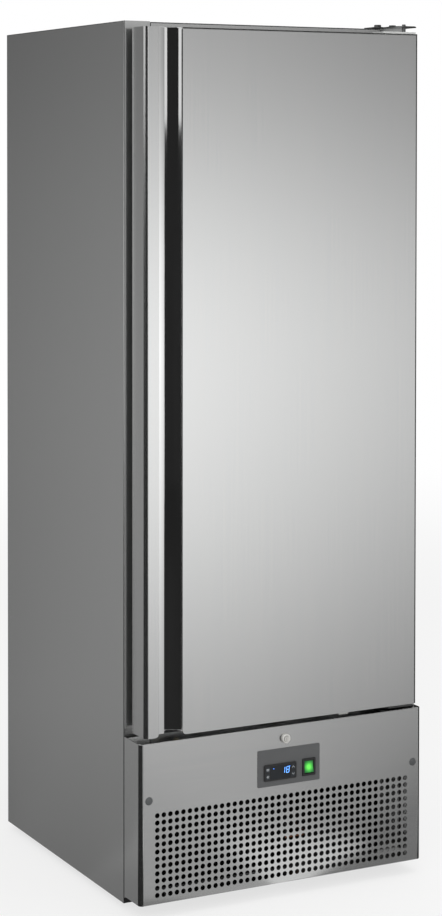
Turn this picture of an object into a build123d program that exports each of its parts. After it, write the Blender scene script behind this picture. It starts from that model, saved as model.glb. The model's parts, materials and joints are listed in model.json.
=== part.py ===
from build123d import *
import os
from math import atan2, cos, radians, sin, sqrt

# Upright single-door freezer with a solid stainless door hinged on the right, a full-height finger channel
# on the left, and a perforated base panel with the controls in front of the refrigeration compartment.
# Millimetres. X runs to the right seen from the front, Y to the back, Z up.
# While modelling, Y = 0 is the cabinet's front plane. place() moves the pieces so that the origin is at the
# middle of the whole freezer's footprint, on the floor.

# Flat sides that stand for a circle, on the smallest, the hidden and the visible rounds
least_sides = 6
few_sides = 8
round_sides = 12

# Cabinet shell
cabinet_width = 680.0
cabinet_depth = 635.0
side_height = 1830.0
foot_height = 15.0
sheet = 1.0
wall = 60.0
back_wall = 60.0
floor_wall = 74.0
liner_sheet = 1.0
top_drop = 1.5
seam = 2.0
rear_fold = 20.0
stile_notch = 12.0
breaker_width = 8.0
breaker_depth = 14.0
breaker_chamfer = 4.0

# Base panel with its holes
base_panel_rise = 15.0
base_panel_height = 334.0
base_panel_depth = 76.0
base_panel_sheet = 1.2
base_panel_corner = 6.0
base_panel_lip = 62.0
base_panel_bottom_lip = 14.0
base_panel_gap = 0.3
hole_columns = 41
hole_rows = 12
hole_pitch = 15.0
hole_side = 8.0
hole_bottom_margin = 18.5
cap_diameter = 17.0
cap_height = 2.0
cap_dome = 1.0
cap_inset = 21.0
cap_below_top = 118.0

# Door
door_gap = 10.0
door_top_gap = 15.0
door_inset = 12.0
door_thickness = 60.0
gasket_gap = 16.0
sill_overlap = 45.0
door_sheet = 1.0
door_edge_radius = 6.0
dyke_clearance = 10.0
dyke_depth = 30.0
dyke_chamfer = 8.0
gasket_inset = 18.0
gasket_width = 18.0
gasket_base = 5.0
gasket_neck = 8.0
seat_clearance = 0.3

# Handle along the door's left edge
lip_width = 32.0
lip_sheet = 1.2
lip_radius = 9.0
border_width = 12.0
channel_width = 40.0
channel_depth = 22.0
channel_root = 4.0
channel_sheet = 1.5
channel_rise = 9.0
skin_seam = 2.0
corner_radius = 8.0
cap_plate = 2.0
cap_overlap = 9.0

# Hinges
hinge_inset = 18.0
hinge_setback = 30.0
pin_diameter = 8.0
pin_fit = 0.02
pin_running_fit = 0.05
pin_reach = 18.0
pin_proud = 3.0
bush_diameter = 14.0
bush_pocket_clearance = 0.5
bracket_sheet = 4.0
bracket_arm_width = 56.0
bracket_arm_reach = 66.0
bracket_foot_width = 78.0
bracket_foot_depth = 38.0
bracket_edge = 2.0
bracket_nose = 14.0
bottom_bracket_width = 88.0
bottom_bracket_drop = 66.0
bottom_bracket_below_door = 4.0
top_plate = 4.5
top_plate_length = 82.0
bottom_plate = 2.5
bottom_plate_length = 58.0
hinge_plate_width = 46.0
hinge_plate_edge = 2.0
bolt_across_flats = 15.0
bolt_head = 6.5
bolt_spacing = 38.0
bolt_edge = 18.0
bolt_setback = 20.0
washer_diameter = 26.0
washer_thickness = 1.8
tab_width = 24.0
tab_depth = 26.0
tab_thickness = 4.5
tab_from_centre = 146.0
tab_setback = 4.0

# Lock
lock_below_top = 27.0
lock_head_diameter = 20.0
lock_head_proud = 4.0
lock_head_bevel = 1.0
lock_body_diameter = 16.0
lock_body_length = 22.0
lock_core_diameter = 11.0
lock_core_proud = 0.6
lock_fit = 0.05
lock_hole_clearance = 0.1
cam_thickness = 2.0
cam_width = 12.0
cam_length = 46.0
cam_clearance = 2.0
key_slot_width = 1.6
key_slot_length = 7.0
key_slot_depth = 3.0

# Controls
plate_width = 150.0
plate_height = 78.0
plate_thickness = 1.5
plate_corner = 2.0
plate_left = 66.0
plate_below_top = 47.0
facia_width = 78.0
facia_height = 34.5
facia_proud = 3.0
facia_corner = 2.0
facia_left = 14.0
facia_rise = 12.0
case_margin = 3.5
case_depth = 56.0
key_width = 9.6
key_height = 12.0
key_thickness = 2.4
key_proud = 0.5
key_gap = 0.2
key_edge = 3.5
key_spread = 15.0
key_travel = 0.6
key_floor_clearance = 0.15
switch_width = 32.0
switch_height = 37.0
switch_left = 107.0
switch_rise = 12.0
switch_proud = 2.5
switch_housing_depth = 22.0
rocker_width = 22.0
rocker_height = 25.0
rocker_back_height = 22.0
rocker_window = 27.2
rocker_side_gap = 0.25
rocker_pivot_depth = 5.0
rocker_crown = 4.4
rocker_face_angle = 8.0
rocker_rest_angle = 7.0
rocker_back = 7.0
cutout_clearance = 0.5
cavity_wall = 1.4

# Inside
pilaster_width = 20.0
pilaster_thickness = 6.0
pilaster_bottom = 60.0
pilaster_height = 1080.0
pilaster_front = 90.0
pilaster_back_gap = 105.0
clip_reach = 14.0
clip_height = 14.0
shelf_count = 3
shelf_pitch = 300.0
shelf_first = 300.0
shelf_side_gap = 12.0
shelf_front = 40.0
shelf_back_gap = 35.0
shelf_thickness = 6.0
shelf_rim = 10.0
shelf_wire = 4.0
shelf_gaps = 6
shelf_clearance = 0.05
shelf_lip = 16.0
shelf_lip_thickness = 4.0
coil_zone_height = 175.0
coil_cover_front = 70.0
coil_cover_back_gap = 75.0
coil_cover_sheet = 1.5
coil_side_gap = 50.0
coil_front = 210.0
coil_back_gap = 95.0
coil_above_cover = 12.0

# Fans, used for the evaporator and the condenser
fan_diameter = 150.0
fan_hole_clearance = 6.0
fan_hub_diameter = 42.0
fan_hub_length = 20.0
fan_blades = 4
fan_blade_width = 44.0
fan_blade_thickness = 2.0
fan_blade_pitch = 28.0
fan_shaft_diameter = 6.0
fan_shaft_length = 26.0
fan_gap = 6.0
motor_diameter = 58.0
motor_length = 36.0
motor_shaft_fit = 0.05
motor_gap = 8.0
strap_width = 22.0
strap_thickness = 2.0
strap_foot = 12.0

# Refrigeration compartment
tray_sheet = 2.0
tray_flange = 20.0
condenser_width = 320.0
condenser_height = 250.0
condenser_left = 85.0
condenser_front = 12.0
condenser_depth = 60.0
fin_count = 7
fin_thickness = 3.0
coil_spine = 80.0
condenser_spine = 18.0
shroud_depth = 16.0
shroud_sheet = 1.5
compressor_radius = 82.0
compressor_height = 180.0
compressor_bevel = 26.0
compressor_side_inset = 190.0
compressor_back_inset = 305.0
compressor_plate = 3.0
compressor_seat = 1.0
compressor_plate_side = 190.0
compressor_plate_depth = 130.0
terminal_width = 50.0
terminal_height = 60.0
terminal_depth = 22.0
mount_diameter = 26.0
mount_height = 14.0
mount_inset = 14.0
tube_diameter = 8.0
tube_bend = 18.0
tube_from_axis = 41.0
tube_setback = 30.0
tube_rise = 50.0
tube_spread = 90.0
condenser_port_depth = 50.0
condenser_port_rise = 60.0
discharge_gap = 40.0
liquid_gap = 70.0
liquid_setback = 60.0
drier_diameter = 20.0
drier_length = 90.0
drier_rise = 70.0
drip_tray_width = 220.0
drip_tray_depth = 200.0
drip_tray_height = 40.0
drip_tray_wall = 2.0
drip_tray_left = 40.0
drip_tray_back = 60.0
box_width = 110.0
box_depth = 80.0
box_height = 95.0
box_from_side = 75.0
box_inset = 12.0
box_lid = 3.0
rear_cover_recess = 28.0
rear_cover_sheet = 1.0
slot_rows = 3
slot_width = 180.0
slot_height = 8.0
slot_pitch = 32.0
slot_rise = 150.0
slot_between = 60.0
gland_from_centre = 250.0
gland_rise = 60.0
gland_across_flats = 22.0
gland_flange = 6.0
gland_nose = 16.0
gland_nose_diameter = 15.0
gland_bore = 8.0

# Levelling feet
foot_across_flats = 32.0
foot_pad = 10.0
stud_diameter = 10.0
stud_length = 24.0
stud_clearance = 0.3
foot_side_inset = 55.0
foot_front_inset = 55.0
foot_back_inset = 55.0

# Places worked out from the sizes above
half_width = cabinet_width / 2
side_bottom = foot_height
side_top = foot_height + side_height
shell_top = side_top - top_drop
opening_half = half_width - wall
opening_top = side_top - wall
panel_bottom = side_bottom + base_panel_rise
panel_top = panel_bottom + base_panel_height
panel_front = -base_panel_depth
door_bottom = panel_top + door_gap
door_top = side_top - door_top_gap
door_half = half_width - door_inset
door_back = -gasket_gap
door_front = door_back - door_thickness
opening_bottom = door_bottom + sill_overlap
machine_top = opening_bottom - floor_wall
liner_back = cabinet_depth - back_wall
tray_top = side_bottom + tray_sheet
lip_seam_x = -door_half + lip_width
groove_left = lip_seam_x + border_width
groove_right = groove_left + channel_width
skin_left = groove_right + skin_seam
channel_bottom = door_bottom + channel_rise
hinge_x = door_half - hinge_inset
hinge_y = door_front + hinge_setback
lock_z = panel_top - lock_below_top
lock_front = panel_front - lock_head_proud
cam_back = panel_front + lock_body_length + cam_thickness
plate_front = panel_front - plate_thickness
plate_x = -plate_left
plate_z = panel_top - plate_below_top - plate_height
facia_x = plate_x + facia_left
facia_z = plate_z + facia_rise
facia_front = plate_front - facia_proud
switch_x = plate_x + switch_left
switch_z = plate_z + switch_rise
switch_front = plate_front - switch_proud
cover_z = opening_top - coil_zone_height
coil_z = cover_z + coil_above_cover
coil_half = opening_half - coil_side_gap
coil_back = liner_back - coil_back_gap
coil_cover_back = liner_back - coil_cover_back_gap
pilaster_back = liner_back - pilaster_back_gap
shelf_half = opening_half - shelf_side_gap
shelf_back = liner_back - shelf_back_gap
compressor_x = half_width - compressor_side_inset
compressor_y = cabinet_depth - compressor_back_inset
rocker_pivot_y = switch_front + rocker_pivot_depth
rocker_tilt = radians(rocker_rest_angle)
rocker_front = rocker_pivot_y - rocker_crown * cos(rocker_tilt) - rocker_height / 2 * sin(rocker_tilt)
frontmost = min(lock_front - lock_core_proud, facia_front - key_proud, rocker_front)
row_shift = -(frontmost + cabinet_depth) / 2


def slab(x, y, z):
    """A box between two X, two Y and two Z values, given in either order."""
    size = [abs(b - a) for a, b in (x, y, z)]
    middle = [(a + b) / 2 for a, b in (x, y, z)]
    return Pos(*middle) * Box(*size)


def face(*points):
    return make_face(Polyline(*points, close=True))


def prism(outline, axis, start, end):
    """Extrudes an outline along an axis: it is drawn in XY for z, in YZ for x and in XZ for y."""
    if axis == "y":
        return extrude(Plane.XZ.offset(-start) * outline, amount=start - end)
    plane = Plane.XY if axis == "z" else Plane.YZ
    return extrude(plane.offset(start) * outline, amount=end - start)


def rod(axis, centre, diameter, start, end, sides=round_sides):
    """A round bar along an axis, with its corners on the true circle. The centre is given as in prism()."""
    return prism(Pos(*centre) * RegularPolygon(diameter / 2, sides), axis, start, end)


def bore(axis, centre, diameter, start, end, sides=round_sides):
    """A round hole along an axis, with its flats on the true circle, so that a rod turns freely in it."""
    return prism(Pos(*centre) * RegularPolygon(diameter / 2, sides, major_radius=False), axis, start, end)


def hexagon(across_flats):
    return RegularPolygon(across_flats / 2, 6, major_radius=False)


def corner_cut(x, z, toward_x, toward_z, radius):
    """The sliver that rounds an outline corner with two flats. The signs say where the material is."""
    middle = radius * (1 - sqrt(0.5))
    steps = ((0, 0), (0, radius), (middle, middle), (radius, 0))
    return face(*[(x + toward_x * a, z + toward_z * b) for a, b in steps])


def place(shape):
    return Pos(0, row_shift, 0) * shape


def save(name, *shapes):
    """Writes one sub-part. Several shapes are separate solids of one node."""
    placed = [place(shape) for shape in shapes]
    whole = placed[0] if len(placed) == 1 else Compound(children=placed)
    export_step(whole, f"parts/{name}.step")


# Cabinet shell


def side_panel(side):
    """Sheet with a wide front stile, a fold over the top and a narrow fold at the back."""
    outer = side * half_width
    skin = slab((outer, outer - side * sheet), (0, cabinet_depth), (side_bottom, side_top))
    stile = slab((outer, outer - side * wall), (0, sheet), (side_bottom + stile_notch, side_top))
    over_top = slab((outer, outer - side * wall), (0, cabinet_depth), (side_top - sheet, side_top))
    back = (cabinet_depth - sheet, cabinet_depth)
    rear = slab((outer, outer - side * rear_fold), back, (side_bottom, side_top))
    return skin + stile + over_top + rear


def top_panel():
    inner = half_width - sheet
    plate = slab((-inner, inner), (sheet, cabinet_depth - sheet), (shell_top - sheet, shell_top))
    header_half = opening_half - seam
    header = slab((-header_half, header_half), (0, sheet), (opening_top, shell_top))
    fold = slab((-header_half, header_half), (0, sheet * 2), (shell_top - sheet, shell_top))
    return plate + header + fold


def floor_panel():
    """Ceiling of the refrigeration compartment, turned up in front as the rail under the door opening."""
    inner = half_width - sheet
    rail_half = opening_half - seam
    plate = slab((-inner, inner), (sheet, cabinet_depth - sheet), (machine_top, machine_top + sheet))
    rail = slab((-rail_half, rail_half), (0, sheet), (machine_top, opening_bottom))
    fold = slab((-rail_half, rail_half), (0, sheet * 2), (machine_top, machine_top + sheet))
    return plate + rail + fold


def back_panel():
    half = half_width - rear_fold
    return slab((-half, half), (cabinet_depth - sheet, cabinet_depth), (machine_top, shell_top))


def cabinet_insulation():
    """Foam walls round the liner: left, right, top, floor and back."""
    outer = half_width - sheet
    inner = opening_half + liner_sheet
    front, rear = sheet, cabinet_depth - sheet
    low, high = machine_top + sheet, shell_top - sheet
    sides = [slab((side * outer, side * inner), (front, rear), (low, high)) for side in (-1, 1)]
    top = slab((-inner, inner), (front * 2, rear), (opening_top + liner_sheet, high))
    floor = slab((-inner, inner), (front * 2, rear), (low, opening_bottom - liner_sheet))
    back = slab(
        (-inner, inner),
        (liner_back + liner_sheet, rear),
        (opening_bottom - liner_sheet, opening_top + liner_sheet),
    )
    return [*sides, top, floor, back]


def inner_liner():
    outer = opening_half + liner_sheet
    shell = slab(
        (-outer, outer),
        (sheet, liner_back + liner_sheet),
        (opening_bottom - liner_sheet, opening_top + liner_sheet),
    )
    hollow = slab((-opening_half, opening_half), (0, liner_back), (opening_bottom, opening_top))
    return shell - hollow


def breaker_strips():
    """Plastic strips round the opening, each with a chamfered inner edge."""
    w, d, c = breaker_width, breaker_depth, breaker_chamfer
    section = face((0, 0), (w - c, 0), (w, c), (w, d), (0, d))
    upright = prism(section, "z", opening_bottom, opening_top)
    left = Pos(-opening_half, 0, 0) * upright
    right = mirror(left, about=Plane.YZ)
    half = opening_half - w
    lying = face((0, 0), (0, w - c), (c, w), (d, w), (d, 0))
    bottom = Pos(0, 0, opening_bottom) * prism(lying, "x", -half, half)
    middle = (opening_bottom + opening_top) / 2
    top = mirror(bottom, about=Plane.XY.offset(middle))
    return [left, right, bottom, top]


def base_tray():
    half = half_width - sheet
    floor = slab((-half, half), (sheet, cabinet_depth - sheet), (side_bottom, tray_top))
    front = slab((-half, half), (sheet, sheet + tray_sheet), (side_bottom, side_bottom + tray_flange))
    back_y = cabinet_depth - sheet
    rear = slab((-half, half), (back_y - tray_sheet, back_y), (side_bottom, side_bottom + tray_flange))
    tray = floor + front + rear
    hole_diameter = stud_diameter + 2 * stud_clearance
    for centre in foot_places():
        tray -= bore("z", centre, hole_diameter, side_bottom, tray_top, least_sides)
    return tray


# Base panel and what is mounted on it


def hole_places():
    left = -(hole_columns - 1) / 2 * hole_pitch
    bottom = panel_bottom + hole_bottom_margin
    columns = [left + i * hole_pitch for i in range(hole_columns)]
    rows = [bottom + i * hole_pitch for i in range(hole_rows)]
    return [(x, z) for x in columns for z in rows]


def cam_slot(level):
    """Half length of the slot that the turning cam needs in a sheet at this height."""
    reach = cam_length + cam_clearance
    return sqrt(reach**2 - (level - lock_z) ** 2)


def base_panel_block(inset):
    """The panel's outline as a block, drawn in by the inset, and its front corners."""
    half = half_width - inset
    depth = (panel_front + inset, -base_panel_gap)
    block = slab((-half, half), depth, (panel_bottom + inset, panel_top - inset))
    return block, block.edges().filter_by(Axis.Z).group_by(Axis.Y)[0]


def base_front_panel():
    """Folded cover with side returns, top and bottom lips, its holes and the cut-outs for the controls."""
    t = base_panel_sheet
    half = half_width - t
    _, outer_corners = base_panel_block(0)
    _, inner_corners = base_panel_block(t)
    shell = fillet(outer_corners, base_panel_corner) - chamfer(inner_corners, base_panel_corner - t)
    shell -= slab((-half, half), (-base_panel_gap, -2 * t), (panel_bottom + t, panel_top - t))
    lip_end = panel_front + base_panel_lip
    shell -= slab((-half, half), (lip_end, 0), (panel_top - 2 * t, panel_top))
    bottom_end = panel_front + base_panel_bottom_lip
    shell -= slab((-half, half), (bottom_end, 0), (panel_bottom, panel_bottom + 2 * t))
    front_sheet = (panel_front, panel_front + t)
    holes = Sketch() + [Pos(x, z) * Rectangle(hole_side, hole_side) for x, z in hole_places()]
    openings = [
        prism(holes, "y", *front_sheet),
        case_block(cutout_clearance, *front_sheet),
        housing_block(cutout_clearance, *front_sheet),
        bore("y", (0, lock_z), lock_body_diameter + 2 * lock_hole_clearance, *front_sheet),
        cam_sweep(panel_top - t, panel_top),
    ]
    return shell - openings


def cam_sweep(low, high):
    """The slot along X that lets the cam turn up through a sheet."""
    reach = cam_slot(low)
    side = cam_width / 2 + cam_clearance
    y0 = cam_back - cam_thickness - cam_clearance
    return slab((-reach - side, side), (y0, cam_back + cam_clearance), (low, high))


def screw_caps():
    """Snap caps over the two screws that hold the base panel."""
    z = panel_top - cap_below_top
    caps = []
    for side in (-1, 1):
        centre = (side * (half_width - cap_inset), z)
        cap = rod("y", centre, cap_diameter, panel_front - cap_height, panel_front)
        caps.append(chamfer(cap.faces().sort_by(Axis.Y)[0].edges(), cap_dome))
    return caps


def eased_plate(x, z, width, height, corner):
    """An outline with cut corners whose lower left corner is at x, z."""
    outline = Pos(x + width / 2, z + height / 2) * Rectangle(width, height)
    return chamfer(outline.vertices(), corner)


def case_block(margin, front, back):
    x, z = facia_x + case_margin - margin, facia_z + case_margin - margin
    width = facia_width - 2 * case_margin + 2 * margin
    height = facia_height - 2 * case_margin + 2 * margin
    return slab((x, x + width), (front, back), (z, z + height))


def housing_half_sizes():
    return rocker_width / 2 + rocker_side_gap + cavity_wall, rocker_window / 2 + cavity_wall


def housing_block(margin, front, back):
    """The switch housing behind its bezel."""
    half_x, half_z = housing_half_sizes()
    x, z = switch_centre()
    half_x, half_z = half_x + margin, half_z + margin
    return slab((x - half_x, x + half_x), (front, back), (z - half_z, z + half_z))


def switch_centre():
    return switch_x + switch_width / 2, switch_z + switch_height / 2


def control_plate():
    outline = eased_plate(plate_x, plate_z, plate_width, plate_height, plate_corner)
    plate = prism(outline, "y", plate_front, panel_front)
    plate -= case_block(cutout_clearance, plate_front, panel_front)
    return plate - housing_block(cutout_clearance, plate_front, panel_front)


def controller_case():
    return case_block(0, plate_front, plate_front + case_depth)


def key_places():
    """Middle of each key: two columns of two."""
    left = facia_x + key_edge + key_width / 2
    right = facia_x + facia_width - key_edge - key_width / 2
    middle = facia_z + facia_height / 2
    rows = (("upper", middle + key_spread / 2), ("lower", middle - key_spread / 2))
    columns = (("left", left), ("right", right))
    return {f"key_{side}_{row}": (x, z) for side, x in columns for row, z in rows}


def controller_facia():
    """Display front with a pocket for each key."""
    outline = eased_plate(facia_x, facia_z, facia_width, facia_height, facia_corner)
    facia = prism(outline, "y", facia_front, plate_front)
    pocket_floor = facia_front - key_proud + key_thickness + key_travel + key_floor_clearance
    half_x, half_z = key_width / 2 + key_gap, key_height / 2 + key_gap
    for x, z in key_places().values():
        facia -= slab((x - half_x, x + half_x), (facia_front, pocket_floor), (z - half_z, z + half_z))
    return facia


def controller_key(x, z):
    front = facia_front - key_proud
    half_x, half_z = key_width / 2, key_height / 2
    return slab((x - half_x, x + half_x), (front, front + key_thickness), (z - half_z, z + half_z))


def switch_bezel():
    """Frame and housing in one moulding, with the cavity that the rocker tilts in."""
    x, z = switch_centre()
    frame = slab(
        (switch_x, switch_x + switch_width),
        (switch_front, plate_front),
        (switch_z, switch_z + switch_height),
    )
    bezel = frame + housing_block(0, plate_front, plate_front + switch_housing_depth)
    half_x, half_z = rocker_width / 2 + rocker_side_gap, rocker_window / 2
    floor_y = plate_front + switch_housing_depth - cavity_wall
    return bezel - slab((x - half_x, x + half_x), (switch_front, floor_y), (z - half_z, z + half_z))


def switch_rocker():
    """Rocker with a shallow V front and a narrower back, tilted to its ON side."""
    x, z = switch_centre()
    half, back_half = rocker_height / 2, rocker_back_height / 2
    slope = half * sin(radians(rocker_face_angle))
    outline = face(
        (-rocker_crown + slope, 0), (-rocker_crown, half), (0, half), (rocker_back, back_half),
        (rocker_back, -back_half), (0, -half), (-rocker_crown, -half),
    )
    tilted = Pos(rocker_pivot_y, z) * Rot(0, 0, -rocker_rest_angle) * outline
    return prism(tilted, "x", x - rocker_width / 2, x + rocker_width / 2)


def lock_barrel():
    head = rod("y", (0, lock_z), lock_head_diameter, lock_front, panel_front)
    head = chamfer(head.faces().sort_by(Axis.Y)[0].edges(), lock_head_bevel)
    back = panel_front + lock_body_length
    body = rod("y", (0, lock_z), lock_body_diameter, panel_front, back, few_sides)
    plug_way = bore("y", (0, lock_z), lock_core_diameter + 2 * lock_fit, lock_front, back, few_sides)
    return head + body - plug_way


def lock_core():
    """Plug with a key slot, and the cam on its end, pointing left while unlocked."""
    front = lock_front - lock_core_proud
    plug = rod("y", (0, lock_z), lock_core_diameter, front, cam_back)
    slot = slab(
        (-key_slot_width / 2, key_slot_width / 2),
        (front, front + key_slot_depth),
        (lock_z - key_slot_length / 2, lock_z + key_slot_length / 2),
    )
    side = cam_width / 2
    cam_start = cam_back - cam_thickness + lock_fit
    cam = slab((-cam_length, side), (cam_start, cam_back), (lock_z - side, lock_z + side))
    return plug - slot + cam


# Hinges


def bracket_plan(foot_half, front, back, width):
    """A hinge plate from above: an arm with a chamfered nose round the pin, widening at the cabinet."""
    right = half_width - bracket_edge
    left, foot_left = right - width, right - bracket_foot_width
    return face(
        (right, back), (right, front + bracket_nose), (right - bracket_nose, front),
        (left + bracket_nose, front), (left, front + bracket_nose),
        (left, foot_half), (foot_left, foot_half), (foot_left, back),
    )


def top_hinge_bracket():
    plan = bracket_plan(bracket_edge, -bracket_arm_reach, bracket_foot_depth, bracket_arm_width)
    ends = (side_top, side_top + bracket_sheet)
    return prism(plan, "z", *ends) - pin_hole(*ends)


def pin_hole(low, high):
    return bore("z", (hinge_x, hinge_y), pin_diameter + 2 * pin_fit, low, high, few_sides)


def bottom_hinge_bracket():
    """Angle under the door: the arm carries the pin and the leg is bolted to the stile."""
    top = door_bottom - bottom_bracket_below_door
    right = half_width - bracket_edge
    left = right - bottom_bracket_width
    front = -bracket_arm_reach
    plan = face(
        (left, 0), (left, front + bracket_nose), (left + bracket_nose, front),
        (right - bracket_nose, front), (right, front + bracket_nose), (right, 0),
    )
    arm = prism(plan, "z", top - bracket_sheet, top)
    leg = slab((left, right), (-bracket_sheet, 0), (top - bottom_bracket_drop, top))
    return arm + leg - pin_hole(top - bracket_sheet, top)


def hinge_pins():
    upper = (door_top - pin_reach, side_top + bracket_sheet + pin_proud)
    lower = (door_bottom - bottom_bracket_below_door - bracket_sheet, door_bottom + pin_reach)
    return [rod("z", (hinge_x, hinge_y), pin_diameter, *ends, few_sides) for ends in (upper, lower)]


def hinge_bolts():
    """Hex heads on washers: two on top, two on the lower bracket's leg."""
    bolts = []
    top = side_top + bracket_sheet
    right = half_width - bolt_edge
    for x in (right, right - bolt_spacing):
        washer = rod("z", (x, bolt_setback), washer_diameter, top, top + washer_thickness)
        low = top + washer_thickness
        head = prism(Pos(x, bolt_setback) * hexagon(bolt_across_flats), "z", low, low + bolt_head)
        bolts.append(washer + head)
    z = door_bottom - bottom_bracket_below_door - bottom_bracket_drop / 2
    for x in (right, right - bolt_spacing):
        outline = Pos(x, z) * hexagon(bolt_across_flats)
        bolts.append(prism(outline, "y", -bracket_sheet - bolt_head, -bracket_sheet))
    return bolts


def hinge_plate(length, low, high):
    right = door_half - hinge_plate_edge
    side = hinge_plate_width / 2
    plate = slab((right - length, right), (hinge_y - side, hinge_y + side), (low, high))
    return plate - bore("z", (hinge_x, hinge_y), bush_diameter + 2 * pin_fit, low, high, few_sides)


def door_hinge_plates():
    upper = hinge_plate(top_plate_length, door_top, door_top + top_plate)
    lower = hinge_plate(bottom_plate_length, door_bottom - bottom_plate, door_bottom)
    return [upper, lower]


def bush_ends():
    """Low and high end of each bush. The lower one also carries the door on its bracket."""
    lowest = door_bottom - bottom_bracket_below_door + pin_fit
    return (door_top - pin_reach, door_top + top_plate), (lowest, door_bottom + pin_reach)


def hinge_bushes():
    centre = (hinge_x, hinge_y)
    inside = pin_diameter + 2 * pin_running_fit
    bushes = []
    for ends in bush_ends():
        outer = rod("z", centre, bush_diameter, *ends, few_sides)
        bushes.append(outer - bore("z", centre, inside, *ends, few_sides))
    return bushes


def bush_pockets():
    width = bush_diameter + 2 * bush_pocket_clearance
    depth = pin_reach + bush_pocket_clearance
    return [
        bore("z", (hinge_x, hinge_y), width, door_top - depth, door_top, few_sides),
        bore("z", (hinge_x, hinge_y), width, door_bottom, door_bottom + depth, few_sides),
    ]


def door_tab():
    """Small stop tab under the door, near the hinge side."""
    y = door_front + tab_setback
    x = tab_from_centre - tab_width / 2
    return slab((x, x + tab_width), (y, y + tab_depth), (door_bottom - tab_thickness, door_bottom))


# Door


def lock_pocket(depth):
    """Slot in the door's underside that the raised cam enters."""
    reach = cam_slot(door_bottom)
    side = cam_width / 2 + cam_clearance
    y0 = cam_back - cam_thickness - cam_clearance
    top = max(lock_z + cam_length + cam_clearance, door_bottom + depth)
    return slab((-reach - side, side), (y0, cam_back + cam_clearance), (door_bottom, top))


def groove_outline():
    """The finger channel in plan: a steep left wall, a root in two flats and a long sweep to the right."""
    left, right, front = groove_left, groove_right, door_front
    floor_y = front + channel_depth
    run = channel_width - channel_root
    radius = (run**2 + channel_depth**2) / (2 * channel_depth)
    centre_x = left + channel_root
    centre_y = floor_y - radius
    half_sweep = atan2(run, radius - channel_depth) / 2
    middle = (centre_x + radius * sin(half_sweep), centre_y + radius * cos(half_sweep))
    root_mid = channel_root * (1 - sqrt(0.5))
    wall_and_root = Polyline(
        (right, front), (left, front), (left, floor_y - channel_root),
        (left + root_mid, floor_y - root_mid), (centre_x, floor_y),
    )
    sweep_arc = ThreePointArc((centre_x, floor_y), middle, (right, front))
    return make_face([*wall_and_root.edges(), sweep_arc])


def handle_lip():
    """Sheet wrapped round the door's left edge, with a rounded lower corner at the seam."""
    t = lip_sheet
    block = slab((-door_half, lip_seam_x), (door_front, door_back), (door_bottom, door_top))
    block = fillet(block.edges().filter_by(Axis.Z).group_by(Axis.Y)[0].sort_by(Axis.X)[0], lip_radius)
    inner_depth = (door_front + t, door_back + t)
    hollow = slab((-door_half + t, lip_seam_x + t), inner_depth, (door_bottom, door_top))
    inner_edge = hollow.edges().filter_by(Axis.Z).group_by(Axis.Y)[0].sort_by(Axis.X)[0]
    hollow = chamfer(inner_edge, lip_radius - t)
    corner = corner_cut(lip_seam_x, door_bottom, -1, 1, corner_radius)
    return block - hollow - prism(corner, "y", door_front, door_front + t)


def handle_channel():
    """Border strip and scooped finger channel, one formed strip."""
    groove = groove_outline()
    t = channel_sheet
    formed = offset(groove, amount=t, kind=Kind.INTERSECTION) - groove
    formed &= Pos(groove_left, door_front + channel_depth) * Rectangle(4 * channel_width, 2 * channel_depth)
    border = Pos((lip_seam_x + groove_left) / 2, door_front + t / 2) * Rectangle(border_width, t)
    return prism(formed + border, "z", channel_bottom, door_top - cap_plate)


def end_cap(right, low, high):
    """Plate that closes the handle's end and follows the channel."""
    gap = lip_sheet
    plate = slab((-door_half + gap, right), (door_front + gap, door_back - door_sheet), (low, high))
    corner = plate.edges().filter_by(Axis.Z).group_by(Axis.Y)[0].sort_by(Axis.X)[0]
    plate = chamfer(corner, lip_radius - gap)
    return plate - prism(groove_outline(), "z", low, high)


def handle_end_caps():
    bottom = end_cap(skin_left + cap_overlap, channel_bottom - cap_plate, channel_bottom)
    top = end_cap(skin_left, door_top - cap_plate, door_top)
    return [bottom, top]


def door_skin():
    """Front sheet folded round the right edge, the top and the bottom."""
    t = door_sheet
    block = slab((skin_left, door_half), (door_front, door_back), (door_bottom, door_top))
    outer_edge = block.edges().filter_by(Axis.Z).group_by(Axis.Y)[0].sort_by(Axis.X)[-1]
    block = fillet(outer_edge, door_edge_radius)
    inner_depth = (door_front + t, door_back + t)
    hollow = slab((skin_left - t, door_half - t), inner_depth, (door_bottom + t, door_top - t))
    inner_edge = hollow.edges().filter_by(Axis.Z).group_by(Axis.Y)[0].sort_by(Axis.X)[-1]
    hollow = chamfer(inner_edge, door_edge_radius - t)
    notch_right = skin_left + cap_overlap + t
    notch = slab((skin_left, notch_right), (door_front + t, door_back), (door_bottom, door_bottom + t))
    corner = corner_cut(skin_left, door_bottom, 1, 1, corner_radius)
    corner = prism(corner, "y", door_front, door_front + t)
    return block - hollow - [notch, corner, *bush_pockets(), lock_pocket(t)]


def dyke_block(inset):
    """The liner's raised middle, which fills the opening when the door is shut, drawn in by the inset."""
    margin = breaker_width + dyke_clearance + inset
    half = opening_half - margin
    back = door_back + dyke_depth - inset
    height = (opening_bottom + margin, opening_top - margin)
    block = slab((-half, half), (door_back - door_sheet, back), height)
    return chamfer(block.faces().sort_by(Axis.Y)[-1].edges(), dyke_chamfer)


def door_liner():
    t = liner_sheet
    half = door_half - lip_sheet
    plate = slab((-half, half), (door_back - t, door_back), (door_bottom + t, door_top - t))
    corner_right = skin_left + cap_overlap
    corner = slab((-half, corner_right), (door_back - t, door_back), (door_bottom, channel_bottom))
    top_strip = slab((-half, skin_left), (door_back - t, door_back), (door_top - cap_plate, door_top))
    return plate - corner - top_strip + dyke_block(0) - dyke_block(t)


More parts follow.
